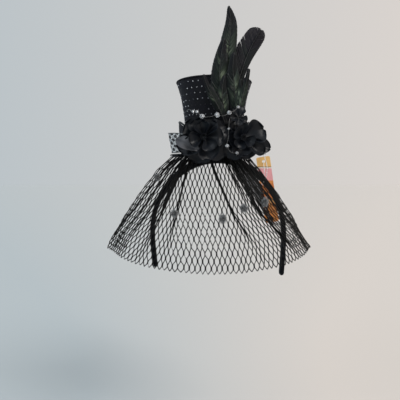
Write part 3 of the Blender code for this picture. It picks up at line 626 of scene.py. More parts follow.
def build_crown(cloth):
    turn = circle(ROUND)
    share = np.linspace(0.0, 1.0, 26)[:, None]
    uv = np.stack(np.broadcast_arrays(turn * 39 * MM, share * 74 * MM), -1)
    wall = surface("crown_fabric", crown_point(turn, share, -0.4 * MM), cloth, 0.8 * MM, uv, True, 0)
    settle(wall, "hat_fabric", "crown_cover")
    # The taut top disc is a touch hollow, and a covered cord of three plies runs round it.
    radius = np.linspace(0.02, 1.0, 14)[:, None]
    level = CROWN_TOP - 0.45 * MM - 0.5 * MM * (1 - radius**2)
    grid = round_point(HAT_CENTRE, radius * TOP_RADIUS, radius * TOP_RADIUS, turn, level)
    disc = surface("crown_top_fabric", grid, cloth, 0.7 * MM, grid[..., :2], True, 0)
    settle(disc, "hat_fabric", "crown_top_disc")
    turn = circle(720)
    plies = []
    for phase in (0.0, 2.1, 4.2):
        around = turn * 90 + phase
        radius = TOP_RADIUS + 1.25 * MM + 0.42 * MM * np.cos(around)
        ply = round_point(HAT_CENTRE, radius, radius, turn, CROWN_TOP + 0.2 * MM + 0.42 * MM * np.sin(around))
        plies.append(np.concatenate((ply, ply[:1])))
    settle(tubes("crown_piping_cord", plies, 0.62 * MM, cloth, 6), "hat_fabric", "crown_top_piping")


def build_foil(material):
    """Foil points in a diamond grid on the crown's wall and its top."""
    spots, normals = [], []
    for row in range(FOIL_ROWS):
        level = (row + 0.5) / FOIL_ROWS
        angles = TURN * (np.arange(FOIL_COLUMNS) + 0.5 * (row % 2)) / FOIL_COLUMNS
        here = crown_point(angles, level, 0.1 * MM)
        beside = crown_point(angles + 0.01, level, 0.1 * MM) - here
        above = crown_point(angles, level + 0.01, 0.1 * MM) - here
        spots.append(here)
        normals.append(unit(np.cross(beside, above)))
    reach = int(TOP_RADIUS / FOIL_PITCH) + 1
    for i in range(-reach, reach + 1):
        for j in range(-2 * reach, 2 * reach + 1):
            x, y = (i + 0.5 * (j % 2)) * FOIL_PITCH, j * FOIL_PITCH * 0.5
            if math.hypot(x, y) < TOP_RADIUS - 2.5 * MM:
                spots.append(np.array(((HAT_CENTRE[0] + x, y, CROWN_TOP),)))
                normals.append(np.array((UP,)))
    dots = foil_points("crown_foil_dots", np.concatenate(spots), np.concatenate(normals), material)
    settle(dots, "hat_fabric")


def foil_points(name, centres, normals, material):
    """Small domed eight-sided foil dots, each tipped a little its own way."""
    rng = np.random.default_rng(8)
    centres = centres + rng.normal(0.0, 0.35, centres.shape) * MM * (1 - np.abs(normals))
    normals = unit(normals + rng.normal(0.0, 0.16, normals.shape))
    side = unit(np.cross(normals, (0.31, 0.52, 0.79)))
    other = np.cross(normals, side)
    angles = circle(8)[:, None]
    ring = side[:, None] * np.cos(angles) + other[:, None] * np.sin(angles)
    points = []
    for scale, rise in ((1.0, 0.0), (0.62, 0.24)):
        points.append(centres[:, None] + ring * FOIL_RADIUS * scale + normals[:, None] * rise * MM)
    faces = []
    for first in range(0, 16 * len(centres), 16):
        faces += [[first + j, first + (j + 1) % 8, first + 8 + (j + 1) % 8, first + 8 + j] for j in range(8)]
        faces += [[first + 8 + j for j in range(8)], [first + 7 - j for j in range(8)]]
    return make_piece(name, np.concatenate(points, 1), faces, material, flat=True)


def build_brim(cloth, binding):
    turn = circle(ROUND)
    share = np.linspace(0.0, 1.0, 12)[:, None]
    uv = np.stack(np.broadcast_arrays(turn * 40 * MM, share * 26 * MM), -1)
    brim = surface("brim_fabric", brim_point(turn, share), cloth, 1.4 * MM, uv, True)
    settle(brim, "hat_fabric", "hat_brim")
    edge = brim_point(turn, 1.0)
    path = edge + unit(edge - brim_point(turn, 0.9)) * 1.55 * MM
    thick = 1.1 * MM * (1 + 0.06 * np.sin(np.arange(ROUND + 1) * 1.9))
    edging = tubes("brim_edge_binding", np.concatenate((path, path[:1])), thick, binding, 10)
    settle(edging, "satin", "hat_brim_binding")


def build_pad(felt):
    low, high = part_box("felt_base_pad")
    centre, half = (low + high) / 2, (high - low) / 2
    tilt = np.radians(np.linspace(-88, 88, 15))[:, None]
    inset = 0.86 + 0.14 * np.cos(tilt) ** 0.5
    height = centre.z + half.z * np.sin(tilt)
    rows = round_point(centre, half.x * inset, half.y * inset, circle(ROUND), height)
    pad = make_piece("felt_pad", rows, capped_faces(len(rows), ROUND, True), felt, rows[..., :2])
    settle(pad, "felt", "felt_base_pad")


# ---------------- feathers

FEATHER_FOOT = 42.0 * MM
# Each feather: shaft guides (x, z) in mm, left and right half widths in mm along it, layer, barbs a side,
# share of its length where the tip starts to close, tone gain (how strongly its painted sheen shows) and tone
# bias.
FEATHERS = {
    "rounded_feather": (((11.0, 42.0), (14.5, 70.0), (22.0, 100.0), (32.0, 125.0), (42.5, 143.0)),
                        (0.5, 6.0, 13.0, 15.0, 13.0, 10.0), (0.5, 1.5, 2.4, 5.6, 8.5, 8.0), 0, 190, 0.90,
                        0.55, -0.04),
    "tall_feather": (((9.0, 42.0), (6.0, 75.0), (5.5, 110.0), (9.0, 145.0), (6.2, 165.5)),
                     (0.5, 6.0, 12.0, 9.5, 5.2, 0.9), (0.5, 6.0, 10.5, 8.0, 5.4, 1.0), 1, 150, 0.93,
                     1.7, 0.02),
    "broad_feather": (((7.0, 42.0), (1.0, 65.0), (-3.0, 90.0), (-1.5, 113.0), (1.5, 131.0)),
                      (0.5, 6.0, 9.5, 8.0, 5.0, 1.6), (0.5, 6.0, 9.5, 9.0, 5.0, 1.6), 2, 80, 0.96, 1.3, 0.06),
    "middle_feather": (((13.0, 42.0), (14.0, 60.0), (13.0, 80.0), (11.0, 100.0), (12.0, 116.0)),
                       (0.5, 4.5, 7.0, 7.5, 4.0, 1.4), (0.5, 4.5, 7.0, 6.5, 4.0, 1.4), 3, 64, 0.96,
                       1.1, 0.08),
    "short_feather": (((5.0, 42.0), (2.0, 55.0), (0.0, 68.0), (0.0, 80.0), (2.0, 92.0)),
                      (0.5, 3.5, 6.0, 5.5, 3.0, 1.2), (0.5, 3.5, 6.0, 5.5, 3.0, 1.2), 4, 46, 0.96, 1.2, 0.10),
    "right_hackle": (((15.0, 42.0), (17.0, 54.0), (18.5, 67.0), (20.0, 78.0), (19.0, 88.0)),
                     (0.5, 3.0, 4.5, 4.0, 2.4, 1.0), (0.5, 3.0, 4.5, 4.0, 2.4, 1.0), 5, 44, 0.97, 1.5, 0.12),
    "outer_hackle": (((17.0, 42.0), (19.0, 56.0), (22.0, 71.0), (25.0, 85.0), (27.5, 98.0)),
                     (0.5, 2.2, 3.2, 2.8, 1.4, 0.7), (0.5, 2.2, 3.2, 2.8, 1.4, 0.7), 6, 48, 0.97, 1.2, 0.08),
    "left_hackle": (((3.0, 42.0), (-2.0, 54.0), (-9.0, 66.0), (-16.0, 78.0), (-21.5, 91.5)),
                    (0.5, 3.0, 4.6, 3.6, 1.8, 0.7), (0.5, 3.0, 4.6, 4.4, 2.4, 0.9), 7, 48, 0.97, 1.0, 0.05),
}
FEATHER_BODIES = {"tall_feather": "tall_plume", "rounded_feather": "rounded_plume"}
SHAFT_POINTS = 60
BARB_POINTS = 7
BARB_SWEEP = 0.155  # how far up the shaft a barb ends, past its root, as a share of the feather


def feather_depth(layer, height):
    return (-45.2 - 0.8 * layer) * MM - (0.05 + 0.025 * layer) * (height - FEATHER_FOOT)


def beside(direction, sign=1.0):
    """Square to a direction in the feather's plane."""
    return np.stack((direction[..., 1], -direction[..., 0]), -1) * sign


def barb_faces():
    """The faces of one barb: four rows of points, closed at both ends."""
    n = BARB_POINTS
    faces = [(e * n + s, e * n + s + 1, (e + 1) % 4 * n + s + 1, (e + 1) % 4 * n + s)
             for s in range(n - 1) for e in range(4)]
    return np.array(faces + [(0, n, 2 * n, 3 * n), (4 * n - 1, 3 * n - 1, 2 * n - 1, n - 1)])


def build_feather(name, guides, left, right, layer, barbs, closes, gain, bias, vane, quill, rng):
    """A shaft with a row of curved barbs on each side, hooked together except where the vane has split."""
    share = np.linspace(0.0, 1.0, SHAFT_POINTS)
    shaft = spline(np.array(guides) * MM, share)
    ahead = unit(np.gradient(shaft, axis=0))
    length = walk(shaft)[-1]
    steps = np.linspace(0.0, 1.0, BARB_POINTS)
    t = steps[:, None]
    points, tone, uv = [], [], []
    for sign, widths in ((-1.0, left), (1.0, right)):
        widths = np.array(widths) * MM
        splits = np.sort(rng.uniform(0.25, 0.95, 4))
        for k in range(barbs):
            root = 0.03 + 0.95 * (k + rng.uniform(-0.2, 0.2)) / barbs
            group = np.searchsorted(splits, root)
            nearest = np.min(np.abs(splits - root))
            ragged = rng.uniform(-0.008, 0.004) - 0.018 * math.exp(-((nearest / 0.008) ** 2))
            reach = min(root + BARB_SWEEP * (1 - root**6) + ragged, 1.0)
            closing = math.sqrt(max(1 - (max(reach - closes, 0.0) / (1 - closes)) ** 2, 0.0))
            half = spline(widths, reach) * closing * (1 + rng.uniform(-0.035, 0.02))
            start = read_at(root, share, shaft)
            tip = read_at(reach, share, shaft) + beside(read_at(reach, share, ahead), sign) * half
            first = read_at(root, share, ahead)
            middle = start + (beside(first, sign) + first) * 0.62 * 0.48 * np.linalg.norm(tip - start)
            line = start * (1 - t) ** 2 + 2 * middle * t * (1 - t) + tip * t**2
            across = beside(unit(np.gradient(line, axis=0)))
            breadth = length / barbs * (0.95 - 0.25 * t)
            lift = (0.10 * MM * math.sin(group * 2.3) + rng.uniform(-0.05, 0.05) * MM) * steps
            lift += 0.25 * MM * steps**2
            # The barb's tone is its own near black and painted sheen: pale olive streaks mid-feather where
            # light catches the vane, fading dark at root and tip, with a few barbs painted as glints.
            streak = 0.26 + 0.36 * math.sin(group * 1.9 + layer + sign) ** 2 + rng.uniform(-0.12, 0.12)
            fade = smoothstep(0.05, 0.40, root) * (1 - 0.85 * smoothstep(0.55, 0.80, root))
            barb_sheen_tone = bias + gain * streak * fade * (1 - 0.7 * steps**1.5) + 0.16 * (rng.uniform() < 0.06)
            for edge, back in ((-1, -0.02 * MM), (1, -0.02 * MM), (1, 0.10 * MM), (-1, 0.10 * MM)):
                spot = line + across * breadth * edge
                depth = feather_depth(layer, spot[:, 1]) + lift + back
                points.append(np.stack((spot[:, 0], depth, spot[:, 1]), -1))
                tone.append(barb_sheen_tone)
                uv.append(np.stack((np.full(BARB_POINTS, edge * 0.5), steps), -1))
    faces = repeated_faces(barb_faces(), 4 * BARB_POINTS, 2 * barbs)
    barb_piece = make_piece(name + "_vane", np.array(points), faces, vane, np.array(uv), np.array(tone))
    path = np.stack((shaft[:, 0], feather_depth(layer, shaft[:, 1]) - 0.12 * MM, shaft[:, 1]), -1)
    shaft_piece = tubes(name + "_shaft", path, np.linspace(0.62, 0.16, SHAFT_POINTS) * MM, quill, 7)
    body = FEATHER_BODIES.get(name, "headpiece")
    settle(barb_piece, "feather", name, body=body)
    settle(shaft_piece, "feather", body=body)


def build_feathers(vane, quill, wrap):
    rng = np.random.default_rng(11)
    for name, facts in FEATHERS.items():
        build_feather(name, *facts, vane, quill, rng)
    low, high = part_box("feather_binding")
    centre, half = (low + high) / 2, (high - low) / 2
    t = np.linspace(0.0, 1.0, 420)
    grow = (0.62 + 0.38 * t) * 0.92
    height = low.z + (high.z - low.z) * (0.05 + 0.9 * t)
    path = round_point(centre, half.x * grow, half.y * grow, TURN * 14 * t, height)
    settle(tubes("feather_wrap", path, 0.55 * MM, wrap, 6), "satin", "feather_binding")


# ---------------- flowers

CLUSTER_BACK = -54.5 * MM
# Each flower: centre (x, z) in mm, axis, and its rings from the outermost in. Each petal: direction in
# degrees round from +X towards +Z, reach and width in mm, lift and cup as shares of its reach, and
# sometimes how much paler it is painted than the rest, a painted highlight, and how far its claw is moved, in
# mm: right, up, forward.
FLOWERS = {
    "left_flower": ((-20.0, 25.0), (-0.10, -1.0, 0.02), {
        "outer": ((204, 30, 24, 0.14, 0.30), (258, 27, 28, 0.10, 0.22), (318, 29, 27, 0.12, 0.22),
                  (28, 25, 24, 0.16, 0.24), (95, 21, 30, 0.18, 0.20), (150, 24, 24, 0.20, 0.24)),
        "middle": ((212, 22, 21, 0.30, 0.40), (292, 24, 24, 0.34, 0.30), (5, 20, 22, 0.42, 0.30),
                   (68, 20, 20, 0.40, 0.45), (115, 20, 20, 0.42, 0.45)),
        "inner": ((100, 15, 17, 0.75, 0.45), (200, 15, 17, 0.80, 0.45), (300, 16, 17, 0.78, 0.45),
                  # The long low petal's 0.33 of tone is a painted highlight, where light falls on its upper
                  # face.
                  (148, 31, 14, 0.10, 0.20, 0.33, (-1.5, -16.0, 2.5))),
    }),
    "right_flower": ((20.0, 24.5), (0.12, -1.0, 0.02), {
        "outer": ((341, 33, 17, 0.10, 0.24), (284, 22, 25, 0.12, 0.26), (232, 24, 22, 0.12, 0.26),
                  (172, 20, 20, 0.14, 0.26), (112, 20, 20, 0.20, 0.28), (22, 24, 20, 0.10, 0.22)),
        # The first petal's 0.05 of tone is a faint painted highlight on the round petal.
        "middle": ((27, 25, 27, 0.26, 0.34, 0.05), (334, 28, 17, 0.26, 0.34), (262, 19, 22, 0.34, 0.30),
                   (195, 15, 18, 0.38, 0.34), (100, 15, 16, 0.46, 0.34)),
        "inner": ((240, 12, 14, 0.78, 0.45), (150, 11, 14, 0.80, 0.45), (330, 12, 14, 0.78, 0.45)),
    }),
}
ROSETTE = ((60, 12.0, 8.0, 0.16, 0.45, 0.12), (118, 10.0, 9.0, 0.30, 0.4), (190, 9.0, 9.0, 0.34, 0.4),
           (262, 8.5, 9.0, 0.34, 0.4), (335, 8.5, 9.0, 0.32, 0.4))
RING_STEPS = {"outer": 0.0, "middle": 2.2, "inner": 4.4}  # mm along the axis
PETAL_ROWS = 17
PETAL_COLUMNS = 15
PETAL_UV = 0.024  # metres of satin that a petal's UV map covers
SATIN_THICKNESS = 0.3 * MM


def petal(centre, axis, out, reach, width, lift, cup, rng):
    """A grid of points over one cupped petal with a broad, rounded, rolled edge."""
    v = np.linspace(0.0, 1.0, PETAL_ROWS)[:, None]
    u = np.linspace(-1.0, 1.0, PETAL_COLUMNS)[None]
    # The half width grows from the claw, is widest past the middle and closes in a half circle.
    grow = 0.20 + 0.80 * smoothstep(0.0, 0.62, v)
    closing = np.sqrt(np.clip(1 - (np.clip(v - 0.60, 0.0, 1.0) / 0.40) ** 2.3, 0.02, 1.0))
    phase = rng.uniform(0, 6.28, 3)
    ruffle = 0.030 * reach * np.sin(2.6 * u + phase[0]) * v**2
    crease = 0.016 * reach * np.cos(TURN * u + phase[1]) * np.sin(math.pi * v)
    curl = lift * v**1.4 - (0.16 + 0.10 * math.sin(phase[2])) * smoothstep(0.55, 1.0, v) ** 1.4
    trough = cup * (width / reach) * (u**2 - 0.25) * np.sin(math.pi * np.clip(v, 0.0, 0.86)) * 0.9
    rise = reach * (curl + trough) + ruffle + crease
    across = width / 2 * grow * closing * u + 0.08 * math.sin(phase[0]) * reach * v**2
    flat = out * (reach * v)[..., None] + np.cross(axis, out) * across[..., None]
    return centre + flat + axis * rise[..., None]


def petal_ring(name, centre, axis, petals, cloth, rng):
    level = unit(np.cross(UP, axis))
    level = -level if level[0] < 0 else level
    grids, tones = [], []
    for number, (direction, reach, width, lift, cup, *extra) in enumerate(petals):
        # A petal's tone paints a highlight into the satin's colour.
        tone = extra[0] if extra else 0.0
        moved = extra[1] if len(extra) == 2 else (0.0, 0.0, 0.0)
        angle = math.radians(direction + rng.uniform(-3, 3))
        out = level * math.cos(angle) + UP * math.sin(angle)
        out = unit(out - axis * np.dot(out, axis))
        foot = centre + axis * (0.55 * (number % 2) - 0.2) * MM + out * 1.0 * MM
        foot = foot + (level * moved[0] + UP * moved[1] + axis * moved[2]) * MM
        grids.append(petal(foot, axis, out, reach * MM, width * MM, lift, cup, rng))
        tones.append(np.full(PETAL_ROWS * PETAL_COLUMNS, tone))
    faces = repeated_faces(grid_faces(PETAL_ROWS, PETAL_COLUMNS), PETAL_ROWS * PETAL_COLUMNS, len(grids))
    v, u = np.meshgrid(np.linspace(0, PETAL_UV, PETAL_ROWS),
                       np.linspace(-PETAL_UV / 2, PETAL_UV / 2, PETAL_COLUMNS), indexing="ij")
    uv = np.tile(np.stack((u, v), -1).reshape(-1, 2), (len(grids), 1))
    return thicken(make_piece(name, grids, faces, cloth, uv, np.array(tones)), SATIN_THICKNESS, 1)


def rolled_bud(name, foot, axis, radius, length, cloth):
    """A strip of satin rolled into a spiral."""
    level = unit(np.cross(axis, UP))
    t = np.linspace(0.0, 1.0, 60)[None]
    v = np.linspace(0.0, 1.0, 8)[:, None]
    turn = t * TURN * 2.4
    reach = radius * (0.16 + 0.84 * t) * (0.72 + 0.4 * np.sin(math.pi * v * 0.7))
    rise = length * v * (0.82 + 0.18 * t) + 0.05 * length * np.sin(turn * 1.7)
    grid = foot + axis * rise[..., None] + level * (reach * np.cos(turn))[..., None]
    grid = grid + np.cross(level, axis) * (reach * np.sin(turn))[..., None]
    return surface(name, grid, cloth, SATIN_THICKNESS, levels=0)


def build_flowers(cloth):
    rng = np.random.default_rng(23)
    for flower, ((x, z), axis, rings) in FLOWERS.items():
        centre = np.array((x * MM, CLUSTER_BACK - 3.0 * MM, z * MM))
        axis = unit(np.array(axis))
        for ring, petals in rings.items():
            foot = centre + axis * RING_STEPS[ring] * MM
            piece = petal_ring(f"{flower}_{ring}_satin", foot, axis, petals, cloth, rng)
            settle(piece, "satin", f"{flower}_{ring}_petals")
        heart = rolled_bud(f"{flower}_heart", centre + axis * 5.4 * MM, axis, 3.4 * MM, 6.0 * MM, cloth)
        settle(heart, "satin", f"{flower}_bud")
    centre = np.array((16.5 * MM, CLUSTER_BACK - 8.0 * MM, 46.0 * MM))
    axis = unit(np.array((0.1, -1.0, 0.25)))
    settle(petal_ring("rosette_satin", centre, axis, ROSETTE, cloth, rng), "satin", "rosette_petals")


# ---------------- bow

BOW_HEIGHT = 22.0 * MM
BOW_THICKNESS = 0.22 * MM
BOW_EDGE_RADIUS = 0.35 * MM
# Each loop: root and tip in mm, then in mm how far its outer end droops at the top and slants in below.
BOW_LOOPS = {"left": ((-8.5, -51.6, 22.0), (-58.5, -28.0, 21.5), 0.0, 4.0),
             "right": ((-1.5, -51.6, 22.0), (53.5, -27.0, 20.5), 8.0, 2.0)}
# The tail's guides in mm and its half widths, as its CAD solid runs.
BOW_TAIL = np.array(((20.0, -22.0, 5.0), (30.0, -14.0, -12.0), (43.0, -9.8, -28.0), (51.0, -9.4, -45.0),
                     (58.0, -9.4, -60.0), (65.0, -9.4, -73.0))) * MM
BOW_TAIL_HALF_WIDTHS = np.array((4.0, 6.5, 6.6, 4.6, 2.8, 1.8)) * MM


def bow_loop(side, root, tip, droop, slant, cloth, edge, rng):
    """A crumpled ribbon loop and its edging."""
    root, tip = np.array(root) * MM, np.array(tip) * MM
    middle, reach = (root + tip) / 2, (tip - root) / 2
    square = unit(np.cross(UP, reach))
    angle = np.radians(np.linspace(-152, 152, 44))[:, None]
    share = np.linspace(-1.0, 1.0, 17)[None]
    spread = 0.42 + 0.58 * smoothstep(-1.0, 0.9, np.cos(angle))
    pinch = 1 - smoothstep(-0.9, 0.6, np.cos(angle))
    pleats = (0.9 * MM * pinch + 0.25 * MM) * np.sin(share * 8.5 + rng.uniform(0, 6))
    wave = 0.5 * MM * np.sin(3 * angle + share * 1.8)
    grid = middle + reach * np.cos(angle)[..., None] + square * 2.6 * MM * np.sin(angle)[..., None]
    outer = smoothstep(0.0, 1.0, np.cos(angle))
    height = BOW_HEIGHT / 2 * spread * share - droop * MM * outer * np.clip(share + 0.4, 0.0, 1.0)
    grid = grid + UP * height[..., None] - unit(reach) * (slant * MM * outer * (1 - share) / 2)[..., None]
    grid = grid + square * (pleats + wave)[..., None]
    loop = surface(side + "_bow_ribbon", grid, cloth, BOW_THICKNESS)
    edging = tubes(side + "_bow_ribbon_edge", [grid[:, 0], grid[:, -1]], BOW_EDGE_RADIUS, edge)
    settle(loop, "dotted_sheer", side + "_bow_loop")
    settle(edging, "dotted_sheer")


def build_knot(cloth):
    low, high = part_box("bow_knot")
    centre, half = (low + high) / 2, (high - low) / 2
    rise = np.linspace(-1.0, 1.0, 15)[:, None]
    swell = 1.15 * (1 - 0.22 * np.abs(rise) ** 3) * (1 + 0.07 * np.sin(rise * 15))
    turn = TURN * np.arange(25) / 24
    grid = round_point(centre, half.x * swell, half.y * swell, turn, centre.z + half.z * rise)
    settle(surface("bow_knot_wrap", grid, cloth, SATIN_THICKNESS), "dotted_sheer", "bow_knot")


def build_tail(cloth, edge):
    share = np.linspace(0.0, 1.0, 46)
    path = spline(BOW_TAIL, share)
    half_width = spline(BOW_TAIL_HALF_WIDTHS, share)[:, None]
    square = unit(np.cross(unit(np.gradient(path, axis=0)), (0.0, 1.0, 0.0)))
    across = np.linspace(-1.0, 1.0, 13)[None]
    grid = path[:, None] + square[:, None] * (half_width * across)[..., None]
    grid[..., 1] += 0.8 * MM * np.sin(across * 7.0 + share[:, None] * 9.0) + 0.5 * MM * across**2
    tail = settle(surface("bow_tail_ribbon", grid, cloth, BOW_THICKNESS), "dotted_sheer", "bow_tail")
    edging = settle(tubes("bow_tail_edge", [grid[:, 0], grid[:, -1]], BOW_EDGE_RADIUS, edge), "dotted_sheer")


def build_bow(cloth, dark_cloth, edge, dark_edge):
    rng = np.random.default_rng(5)
    build_knot(cloth)
    for side, facts in BOW_LOOPS.items():
        bow_loop(side, *facts, cloth, edge, rng)
    build_tail(dark_cloth, dark_edge)


# ---------------- beads

# The strands' guides in mm, as their CAD solids run.
GARLAND = ((-38.0, -18.0, 58.5), (-37.2, -36.0, 57.3), (-35.6, -54.0, 55.6), (-32.0, -64.5, 52.0),
           (-28.0, -66.0, 51.4), (-22.8, -69.0, 46.3), (-15.3, -71.0, 45.6), (-7.2, -71.5, 47.5),
           (-0.8, -71.0, 46.6), (5.6, -70.0, 50.0), (10.8, -69.0, 52.3), (15.2, -68.0, 56.3))
DROP = ((5.5, -73.5, 44.0), (4.5, -74.0, 33.0), (4.0, -73.5, 23.0), (3.0, -72.0, 15.5), (7.5, -70.0, 9.0),
        (14.0, -68.0, 8.5))
STRANDS = {"garland": (GARLAND, 0.29 * MM, range(1, 7)), "drop": (DROP, 0.23 * MM, range(7, 10))}
PLY_LENGTH = 2.2 * MM  # along the thread for one turn of a ply
# The bead's section round its bore: distance out and along, as shares of its radius.
BEAD_PROFILE = ((0.34, -0.90), (0.72, -0.74), (1.0, -0.28), (1.0, 0.28), (0.72, 0.74), (0.34, 0.90),
                (0.30, 0.3), (0.30, -0.3))


def faceted_bead(name, node, material):
    """A bead cut with three rows of flat facets, bored along its thread."""
    low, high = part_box(node)
    centre = np.array((low + high) / 2)
    others = np.array([v.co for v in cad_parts[node].data.vertices]) - centre
    # The bore's direction is the one along which the CAD bead is shortest.
    axis = np.linalg.svd(others - others.mean(0), full_matrices=False)[2][-1]
    side = unit(np.cross(axis, (0.37, 0.61, 0.70)))
    points = []
    for k, (reach, rise) in enumerate(BEAD_PROFILE):
        angles = TURN * (np.arange(8) + 0.5 * (k in (1, 3, 5)))[:, None] / 8
        ring = side * np.cos(angles) + np.cross(axis, side) * np.sin(angles)
        points.append(centre + (ring * reach + axis * rise) * min(high - low) / 2)
    faces = grid_faces(len(BEAD_PROFILE), 8, wrap_rows=True, wrap_columns=True)
    return settle(make_piece(name, points, faces, material, flat=True), "clear_bead", node)


def twisted_thread(name, path, radius, material):
    """Two plies of metallic thread wound round each other."""
    ahead = unit(np.gradient(path, axis=0))
    side = unit(np.cross(ahead, (0.3, 0.1, 0.95)))
    around = (walk(path) * TURN / PLY_LENGTH)[:, None]
    plies = []
    for phase in (0.0, math.pi):
        wound = side * np.cos(around + phase) + np.cross(ahead, side) * np.sin(around + phase)
        plies.append(path + wound * radius * 0.45)
    return tubes(name, plies, radius * 0.55, material, 4)


def build_beads(bead_glass, thread):
    for strand, (guides, radius, numbers) in STRANDS.items():
        beads = [faceted_bead(f"{strand}_crystal_{n}", f"{strand}_bead_{n}", bead_glass) for n in numbers]
        path = spline(np.array(guides) * MM, np.linspace(0.0, 1.0, 520))
        piece = twisted_thread(strand + "_strand", path, radius, thread)
        settle(piece, "silver_thread", strand + "_thread")
        path, length = path.tolist(), float(walk(path)[-1])


# ---------------- veil

VEIL_CENTRES = np.array((-12.5, -12.3, -12.0, -11.0, -9.8)) * MM
VEIL_Y = -4.0 * MM
VEIL_TOP = -6.0 * MM
VEIL_HEM = -114.0 * MM
VEIL_BACK_DEPTH = 45.0 * MM
VEIL_HALF_WIDTHS = np.array((60.0, 79.5, 95.5, 110.0, 121.8)) * MM
VEIL_FRONT_DEPTHS = np.array((44.0, 60.0, 73.0, 85.0, 94.0)) * MM
VEIL_END_ANGLES = np.radians((76.0, 80.0, 87.0, 105.0, 120.0))
VEIL_SIDE_LIFT = 14.0 * MM
VEIL_CREASE = 0.30
VEIL_CREASE_SPREAD = 0.45
GATHER_X = -10.5 * MM
GATHER_HALF_WIDTH = 46.0 * MM
GATHER_DEPTH = 34.0 * MM
GATHER_TOP = 7.6 * MM
GATHER_SHARE = 0.10  # of the net's length, from the tape to the veil's top
NET_COLUMNS = 64
NET_ROWS = 17
YARN_RADIUS = 0.49 * MM
CELL_WIDTH = ((0.0, 4.2), (0.25, 4.9), (0.5, 5.2), (1.0, 5.6))  # mm, at shares of the net's length
EDGE_SPREAD = 0.12  # how much further the cells open towards the net's two ends
CURVE_POINTS = 401
# Pleats: column at the top and at the hem, half width in columns, relative depth at the top, at half
# length and at the hem.
PLEATS = ((-6.5, -10.0, 1.0, 0.8, 0.75, 0.1), (1.6, 9.6, 1.0, 0.8, 1.0, 0.2),
          (8.5, 14.0, 1.1, 0.7, 0.2, 0.0), (-10.5, -12.5, 1.1, 0.5, 0.1, 0.0),
          (-13.5, -15.0, 1.2, 1.0, 0.9, 0.5), (13.0, 18.5, 1.2, 0.9, 1.3, 1.0),
          (-16.5, -18.0, 1.1, 0.6, 0.4, 0.1), (17.0, 21.5, 1.1, 0.7, 0.35, 0.1),
          (-20.0, -21.5, 1.1, 0.7, 0.6, 0.2), (20.5, 24.0, 1.1, 0.7, 0.35, 0.1),
          (-23.5, -25.0, 1.1, 0.6, 0.4, 0.1), (24.0, 26.5, 1.1, 0.7, 0.3, 0.1),
          (-27.5, -28.5, 1.1, 1.0, 0.7, 0.3), (27.5, 29.0, 1.1, 0.6, 0.3, 0.1))
PLEAT_RISE = 0.9 * MM
DOT_FIBRES = 620
FIBRE_POINTS = 5


def hanging_point(angle, down):
    half_width = spline(VEIL_HALF_WIDTHS, down)
    depth = np.where(np.cos(angle) > 0, spline(VEIL_FRONT_DEPTHS, down), VEIL_BACK_DEPTH)
    ahead = np.abs(np.cos(angle))
    crease = VEIL_CREASE * ahead * np.exp(-((ahead / VEIL_CREASE_SPREAD) ** 2)) * down**2
    reach = half_width * (np.sin(angle) - np.sign(angle) * crease)
    height = VEIL_TOP + (VEIL_HEM - VEIL_TOP) * down + VEIL_SIDE_LIFT * np.sin(angle) ** 2 * down**2.5
    return np.stack((spline(VEIL_CENTRES, down) + reach, VEIL_Y - depth * np.cos(angle), height), -1)


def gathered_point(angle, height, out=0.0):
    """A point of the gathers' upper edge; out is how far it stands off."""
    return np.stack((GATHER_X + (GATHER_HALF_WIDTH + out) * np.sin(angle),
                     VEIL_Y - (GATHER_DEPTH + out) * np.cos(angle), np.full(len(angle), height)), -1)


def net_curve(share):
    """The level curve of the net at a share of its length, from its left end to its right."""
    across = np.linspace(-1.0, 1.0, CURVE_POINTS)
    if share >= GATHER_SHARE:
        down = np.full(CURVE_POINTS, (share - GATHER_SHARE) / (1 - GATHER_SHARE))
        return hanging_point(spline(VEIL_END_ANGLES, down) * across, down)
    angle = VEIL_END_ANGLES[0] * across
    top = gathered_point(angle, GATHER_TOP)
    return top + (hanging_point(angle, np.zeros(CURVE_POINTS)) - top) * share / GATHER_SHARE


def net_row(share, columns, jitter):
    """Points of the pleated net at one share of its length, for columns counted from its middle."""
    curve = net_curve(share)
    step = 0.004
    below = net_curve(min(share + step, 1.0)) - net_curve(min(share + step, 1.0) - step)
    walked = walk(curve)
    arc = walked[-1]
    width = np.interp(share, *zip(*CELL_WIDTH)) * MM
    folds = [(top + (hem - top) * share, half, np.interp(share, (0.0, 0.5, 1.0), depths))
             for top, hem, half, *depths in PLEATS]
    right = NET_COLUMNS / 2
    spare = max(NET_COLUMNS * (1 + EDGE_SPREAD) - arc / width, 0.0)
    gain = spare / sum(2 * half * depth for _, half, depth in folds)

    def reached(column):
        taken = sum(gain * depth * half * np.tanh((column - at) / half) for at, half, depth in folds)
        return column + EDGE_SPREAD * column**3 / right**2 - taken

    place = arc * (reached(columns) - reached(-right)) / (reached(right) - reached(-right))
    rise = np.zeros(len(columns))
    for at, half, depth in folds:
        offset = (columns - at) / half
        rise += min(gain * depth, 2.2) * PLEAT_RISE * offset * np.exp(-(offset**2) / 5)
    ends = smoothstep(0.10, 0.6, share)
    wave = np.sin(columns * 0.62 + 0.6 + 0.9 * np.sin(columns * 0.17))
    wave = wave + 0.5 * np.sin(columns * 1.35 + 3 * share)
    rise += ends * (0.35 + 0.9 * (np.abs(columns) / right) ** 2) * MM * wave
    crimp = 0.35 * MM * np.sin(columns * 2.4 + 2.0 * np.sin(columns * 0.7))
    rise += (1 - ends) * smoothstep(0.0, 0.06, share) * crimp
    outward = read_at(place, walked, unit(np.cross(below, np.gradient(curve, axis=0))))
    drop = read_at(place, walked, below) / step / NET_ROWS
    return read_at(place, walked, curve) + outward * rise[:, None] + drop * jitter[:, None]


